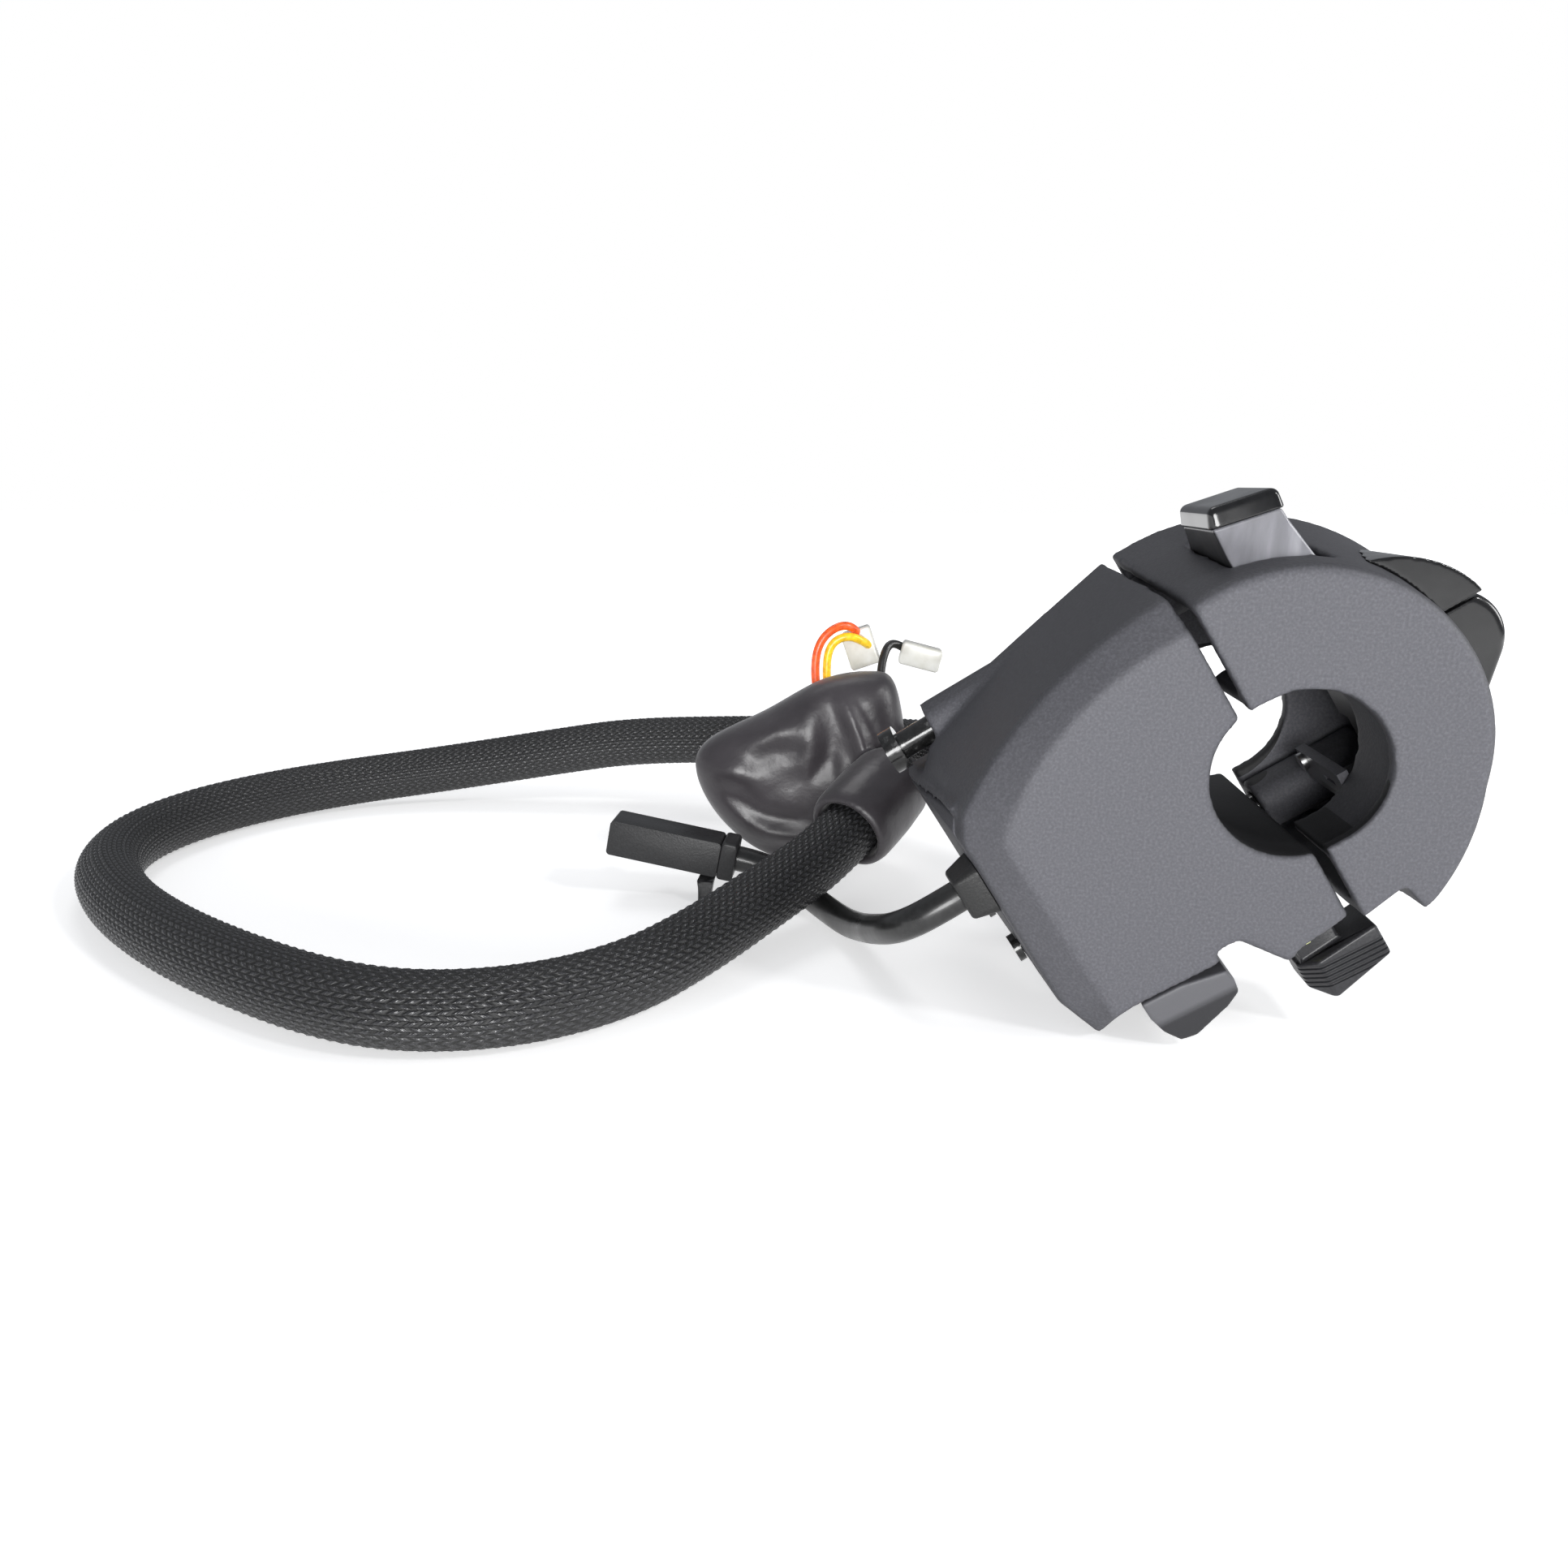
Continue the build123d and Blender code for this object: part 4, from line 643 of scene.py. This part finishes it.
plainNodes = (  # finish, and the CAD nodes that are shown as they are
    (innerPaint, ("turn_slider", "turn_base", "dimmer_base", "horn_base", "pass_switch")),
    (bracketPaint, ("turn_bracket",)),
    (limePaint, ("horn_insert",)),
    (capPaint, ("clutch_plunger",)),
    (steelPaint, (
        "turn_spring", "base_screws", "contact_rivet", "dimmer_pin", "dimmer_spring", "dimmer_ball",
        "horn_spring", "pass_pin", "pass_spring", "clutch_spring",
    )),
    (darkSteelPaint, ("case_screws", "cover_screws")),
)
for paint, group in plainNodes:
    for node in group:
        nodes[node].data.materials.clear()
        nodes[node].data.materials.append(paint.material)

# Boot: a soft pouch with folds, and its smooth neck round the end of the sleeve
boot = {
    "outline": (  # x and height, seen from the near side
        (-51, 30), (-50.4, 22), (-52.4, 14), (-57, 6), (-64, 1.6), (-72, 0.6), (-82, 3.8), (-90.2, 11),
        (-94.6, 20), (-92.6, 26.5), (-80, 33.3), (-68, 40), (-58, 41.8), (-53.4, 39.8),
    ),
    "back": 87.0, "front": 69.0, "middle": (-70.5, 20.0), "around": 180, "over": 72,
    "fullness": 0.42, "flatness": 0.8, "depthShare": 0.94, "foldRoom": 0.6, "farFolds": 0.5, "rimPower": 5,
    "cell": 0.42, "rounds": 9,
}
bootFolds = (  # start, end, sideways bend, width and height of each fold on the near side
    ((-63.5, 37.0), (-60.0, 12.0), 3.2, 1.5, 1.5),
    ((-67.0, 38.0), (-69.5, 16.0), 2.6, 2.4, -1.1),
    ((-88.0, 13.0), (-70.0, 8.5), -2.0, 2.2, 1.3),
    ((-84.0, 27.5), (-72.0, 31.0), 1.6, 2.6, 1.0),
    ((-78.0, 6.0), (-64.0, 6.5), -1.2, 1.6, -1.0),
    ((-92.0, 21.0), (-80.0, 20.0), 1.4, 2.6, 0.9),
)
foldShape = {"ends": 1.15, "fall": 1.7, "troughShare": 0.5, "troughPlace": 1.9, "troughWidth": 0.8}
neck = {
    "mouth": (-59.5, 57, 16.6), "from": (-65.2, 48, 12.2), "steps": 64,
    "profile": (  # place along the neck from its mouth, and its radius there
        (4.0, 0), (4.0, 6.1), (-4.4, 6.5), (-5.0, 7.1), (-4.4, 8.0), (-2.6, 8.5), (1.0, 8.6), (6.0, 8.6),
        (12.0, 8.2), (15.0, 7.0), (15.6, 0),
    ),
}
bootFinish = {
    "colour": (0.034, 0.03, 0.034), "roughness": 0.36, "sheen": 0.12, "sheenRoughness": 0.4,
    "tones": ((0.3, (0.026, 0.023, 0.026)), (0.7, (0.046, 0.041, 0.046))),
    "polish": ((0.3, grey(0.32)), (0.75, grey(0.5))), "depth": 0.12,
}
bootPaint = Paint(
    "bootRubber", bootFinish["colour"], bootFinish["roughness"],
    Sheen_Weight=bootFinish["sheen"], Sheen_Roughness=bootFinish["sheenRoughness"],
)
bootPaint.ramp(bootPaint.noise(90, 4), bootFinish["tones"], "Base Color")
bootPaint.ramp(bootPaint.noise(60, 3), bootFinish["polish"], "Roughness")
bootPaint.bump(bootPaint.noise(420, 4), bootFinish["depth"])


# Evenly spaced points on a smooth closed line through the given ones
def closedLine(points, count):
    points = np.array(points, float)
    number = len(points)
    place = np.linspace(0, number, 40 * number + 1)
    base = place.astype(int)
    part = (place - base)[:, None]
    before, here, after, later = (points[(base + shift) % number] for shift in (-1, 0, 1, 2))
    line = 0.5 * (
        2 * here + (after - before) * part + (2 * before - 5 * here + 4 * after - later) * part ** 2
        + (3 * here - before - 3 * after + later) * part ** 3
    )
    lengths = np.concatenate([[0], np.cumsum(np.linalg.norm(np.diff(line, axis=0), axis=1))])
    wanted = np.linspace(0, lengths[-1], count, endpoint=False)
    return np.stack([np.interp(wanted, lengths, line[:, axis]) for axis in (0, 1)], 1)


# Height of all folds at places on the boot's near side
def foldRelief(x, z):
    height = np.zeros_like(x)
    for start, end, bend, width, rise in bootFolds:
        start, end = np.array(start), np.array(end)
        length = np.linalg.norm(end - start)
        direction = (end - start) / length
        share = ((x - start[0]) * direction[0] + (z - start[1]) * direction[1]) / length
        middle = np.clip(share, 0, 1)
        sideways = bend * np.sin(middle * math.pi)
        lineX = start[0] + direction[0] * middle * length - direction[1] * sideways
        lineZ = start[1] + direction[1] * middle * length + direction[0] * sideways
        away = np.hypot(x - lineX, z - lineZ) / width
        fade = rise * np.clip(foldShape["ends"] - np.abs(share - 0.5) * foldShape["fall"], 0, 1)
        trough = np.exp(-((away - foldShape["troughPlace"]) / foldShape["troughWidth"]) ** 2)
        height += fade * (np.exp(-away ** 2) - foldShape["troughShare"] * trough)
    return height


# A ball is drawn out to the boot's outline, flattened and folded
def addPouch(work):
    made = bmesh.ops.create_uvsphere(work, u_segments=boot["around"], v_segments=boot["over"], radius=1)
    pouch = made["verts"]
    ball = np.array([vertex.co for vertex in pouch])
    latitude = np.arcsin(np.clip(ball[:, 2], -1, 1))
    step = np.round(np.arctan2(ball[:, 1], ball[:, 0]) / fullTurn * boot["around"]).astype(int)
    outline = closedLine(boot["outline"], boot["around"])[step % boot["around"]]
    reach = np.cos(latitude) ** boot["fullness"]
    middle = np.array(boot["middle"])
    x, z = (middle + (outline - middle) * reach[:, None]).T
    depth = np.sign(latitude) * np.abs(np.sin(latitude)) ** boot["flatness"]
    centre = (boot["back"] + boot["front"]) / 2
    half = (boot["back"] - boot["front"]) / 2 * boot["depthShare"]
    folds = foldRelief(x, z) * (1 - reach ** boot["rimPower"])
    y = centre + half * depth + folds * np.where(latitude < 0, -1, boot["farFolds"])
    y = np.clip(y, boot["front"] - boot["foldRoom"], boot["back"])
    for vertex, place in zip(pouch, zip(x, y, z)):
        vertex.co = onTable(*place)
    for pole in (pouch[int(np.argmin(latitude))], pouch[int(np.argmax(latitude))]):
        around = [edge.other_vert(pole).co.y for edge in pole.link_edges]
        pole.co.y = sum(around) / len(around)


def addNeck(work):
    mouth = onTable(*neck["mouth"])
    way = (mouth - onTable(*neck["from"])).normalized()
    side = way.orthogonal().normalized()
    rim = [work.verts.new(mouth + (way * along + side * radius) * mm) for along, radius in neck["profile"]]
    lines = [work.edges.new(pair) for pair in zip(rim, rim[1:])]
    bmesh.ops.spin(
        work, geom=rim + lines, cent=mouth, axis=way, angle=fullTurn, steps=neck["steps"], use_merge=True
    )


bootShape = bmesh.new()
addPouch(bootShape)
addNeck(bootShape)
bmesh.ops.remove_doubles(bootShape, verts=bootShape.verts, dist=0.001 * mm)
bmesh.ops.recalc_face_normals(bootShape, faces=bootShape.faces)
bootData = bpy.data.meshes.new("bootPouch")
bootShape.to_mesh(bootData)
bootShape.free()
bootPiece = standsFor(shown("bootPouch", bootData), "harness_boot", bootPaint)
addSkin(bootPiece, boot["cell"], boot["rounds"])
print("boot ready")

lengthOf(routeLine(leadPiece))
wireEnds = {"yellow": "connector_socket", "red": "connector_socket", "black": "connector_plug"}
for colour, end in wireEnds.items():
    path = routeLine(wires[colour])

# Floor: pale, and white away from the part
ground = {
    "reach": 3.0, "under": 0.02, "colour": grey(0.9), "roughness": 0.9,
    "glowStart": 0.22, "glowEnd": 0.5, "glowNear": 0.5, "glowFar": 1.1,
}
floorShape = bmesh.new()
bmesh.ops.create_grid(floorShape, x_segments=1, y_segments=1, size=ground["reach"])
floorData = bpy.data.meshes.new("floor")
floorShape.to_mesh(floorData)
floorShape.free()
floor = shown("floor", floorData)
floor.location.z = -ground["under"] * mm
floorPaint = Paint("paleFloor", ground["colour"], ground["roughness"], Specular_IOR_Level=0.0)
floorPaint.surface.inputs["Emission Color"].default_value = (1, 1, 1, 1)
fromMiddle = floorPaint.node("VectorMath", operation="LENGTH")
floorPaint.link(floorPaint.coords.outputs["Object"], fromMiddle.inputs[0])
glow = floorPaint.stretched(
    fromMiddle.outputs["Value"],
    ground["glowStart"], ground["glowEnd"], ground["glowNear"], ground["glowFar"],
)
glow.interpolation_type = "SMOOTHSTEP"
floorPaint.link(glow.outputs["Result"], floorPaint.surface.inputs["Emission Strength"])
floor.data.materials.append(floorPaint.material)

# Lights: place and size in metres, power in watts
target = Vector((-0.04, 0.03, 0.03))
lamps = {
    "frontKey": {"place": (-0.1, -1.0, 0.12), "size": 0.5, "power": 12.0},
    "rightFill": {"place": (0.9, -0.1, 0.35), "size": 0.4, "power": 4.0},
    "topSheen": {"place": (-0.3, 0.5, 1.1), "size": 0.5, "power": 2.0},
    "rightSpark": {"place": (0.75, -0.45, 0.75), "size": 0.16, "power": 3.0},
}
for name, lamp in lamps.items():
    data = bpy.data.lights.new(name, "AREA")
    data.shape = "DISK"
    data.size = lamp["size"]
    data.energy = lamp["power"]
    light = shown(name, data)
    light.location = lamp["place"]
    light.rotation_euler = (target - light.location).to_track_quat("-Z", "Y").to_euler()

# Backdrop: white to the camera and through clear plastic, a soft grey to everything else
backdrop = {"ambient": (0.3, 0.31, 0.33, 1), "seen": (1, 1, 1, 1)}
world = bpy.data.worlds.new("studio")
scene.world = world
world.use_nodes = True
tree = world.node_tree
rays = tree.nodes.new("ShaderNodeLightPath")
seen = tree.nodes.new("ShaderNodeMath")
seen.operation = "MAXIMUM"
tree.links.new(rays.outputs["Is Camera Ray"], seen.inputs[0])
tree.links.new(rays.outputs["Is Transmission Ray"], seen.inputs[1])
mix = tree.nodes.new("ShaderNodeMix")
mix.data_type = "RGBA"
mix.inputs["A"].default_value = backdrop["ambient"]
mix.inputs["B"].default_value = backdrop["seen"]
tree.links.new(seen.outputs[0], mix.inputs["Factor"])
tree.links.new(mix.outputs["Result"], tree.nodes["Background"].inputs["Color"])
scene.view_settings.view_transform = "Standard"
print("studio ready")
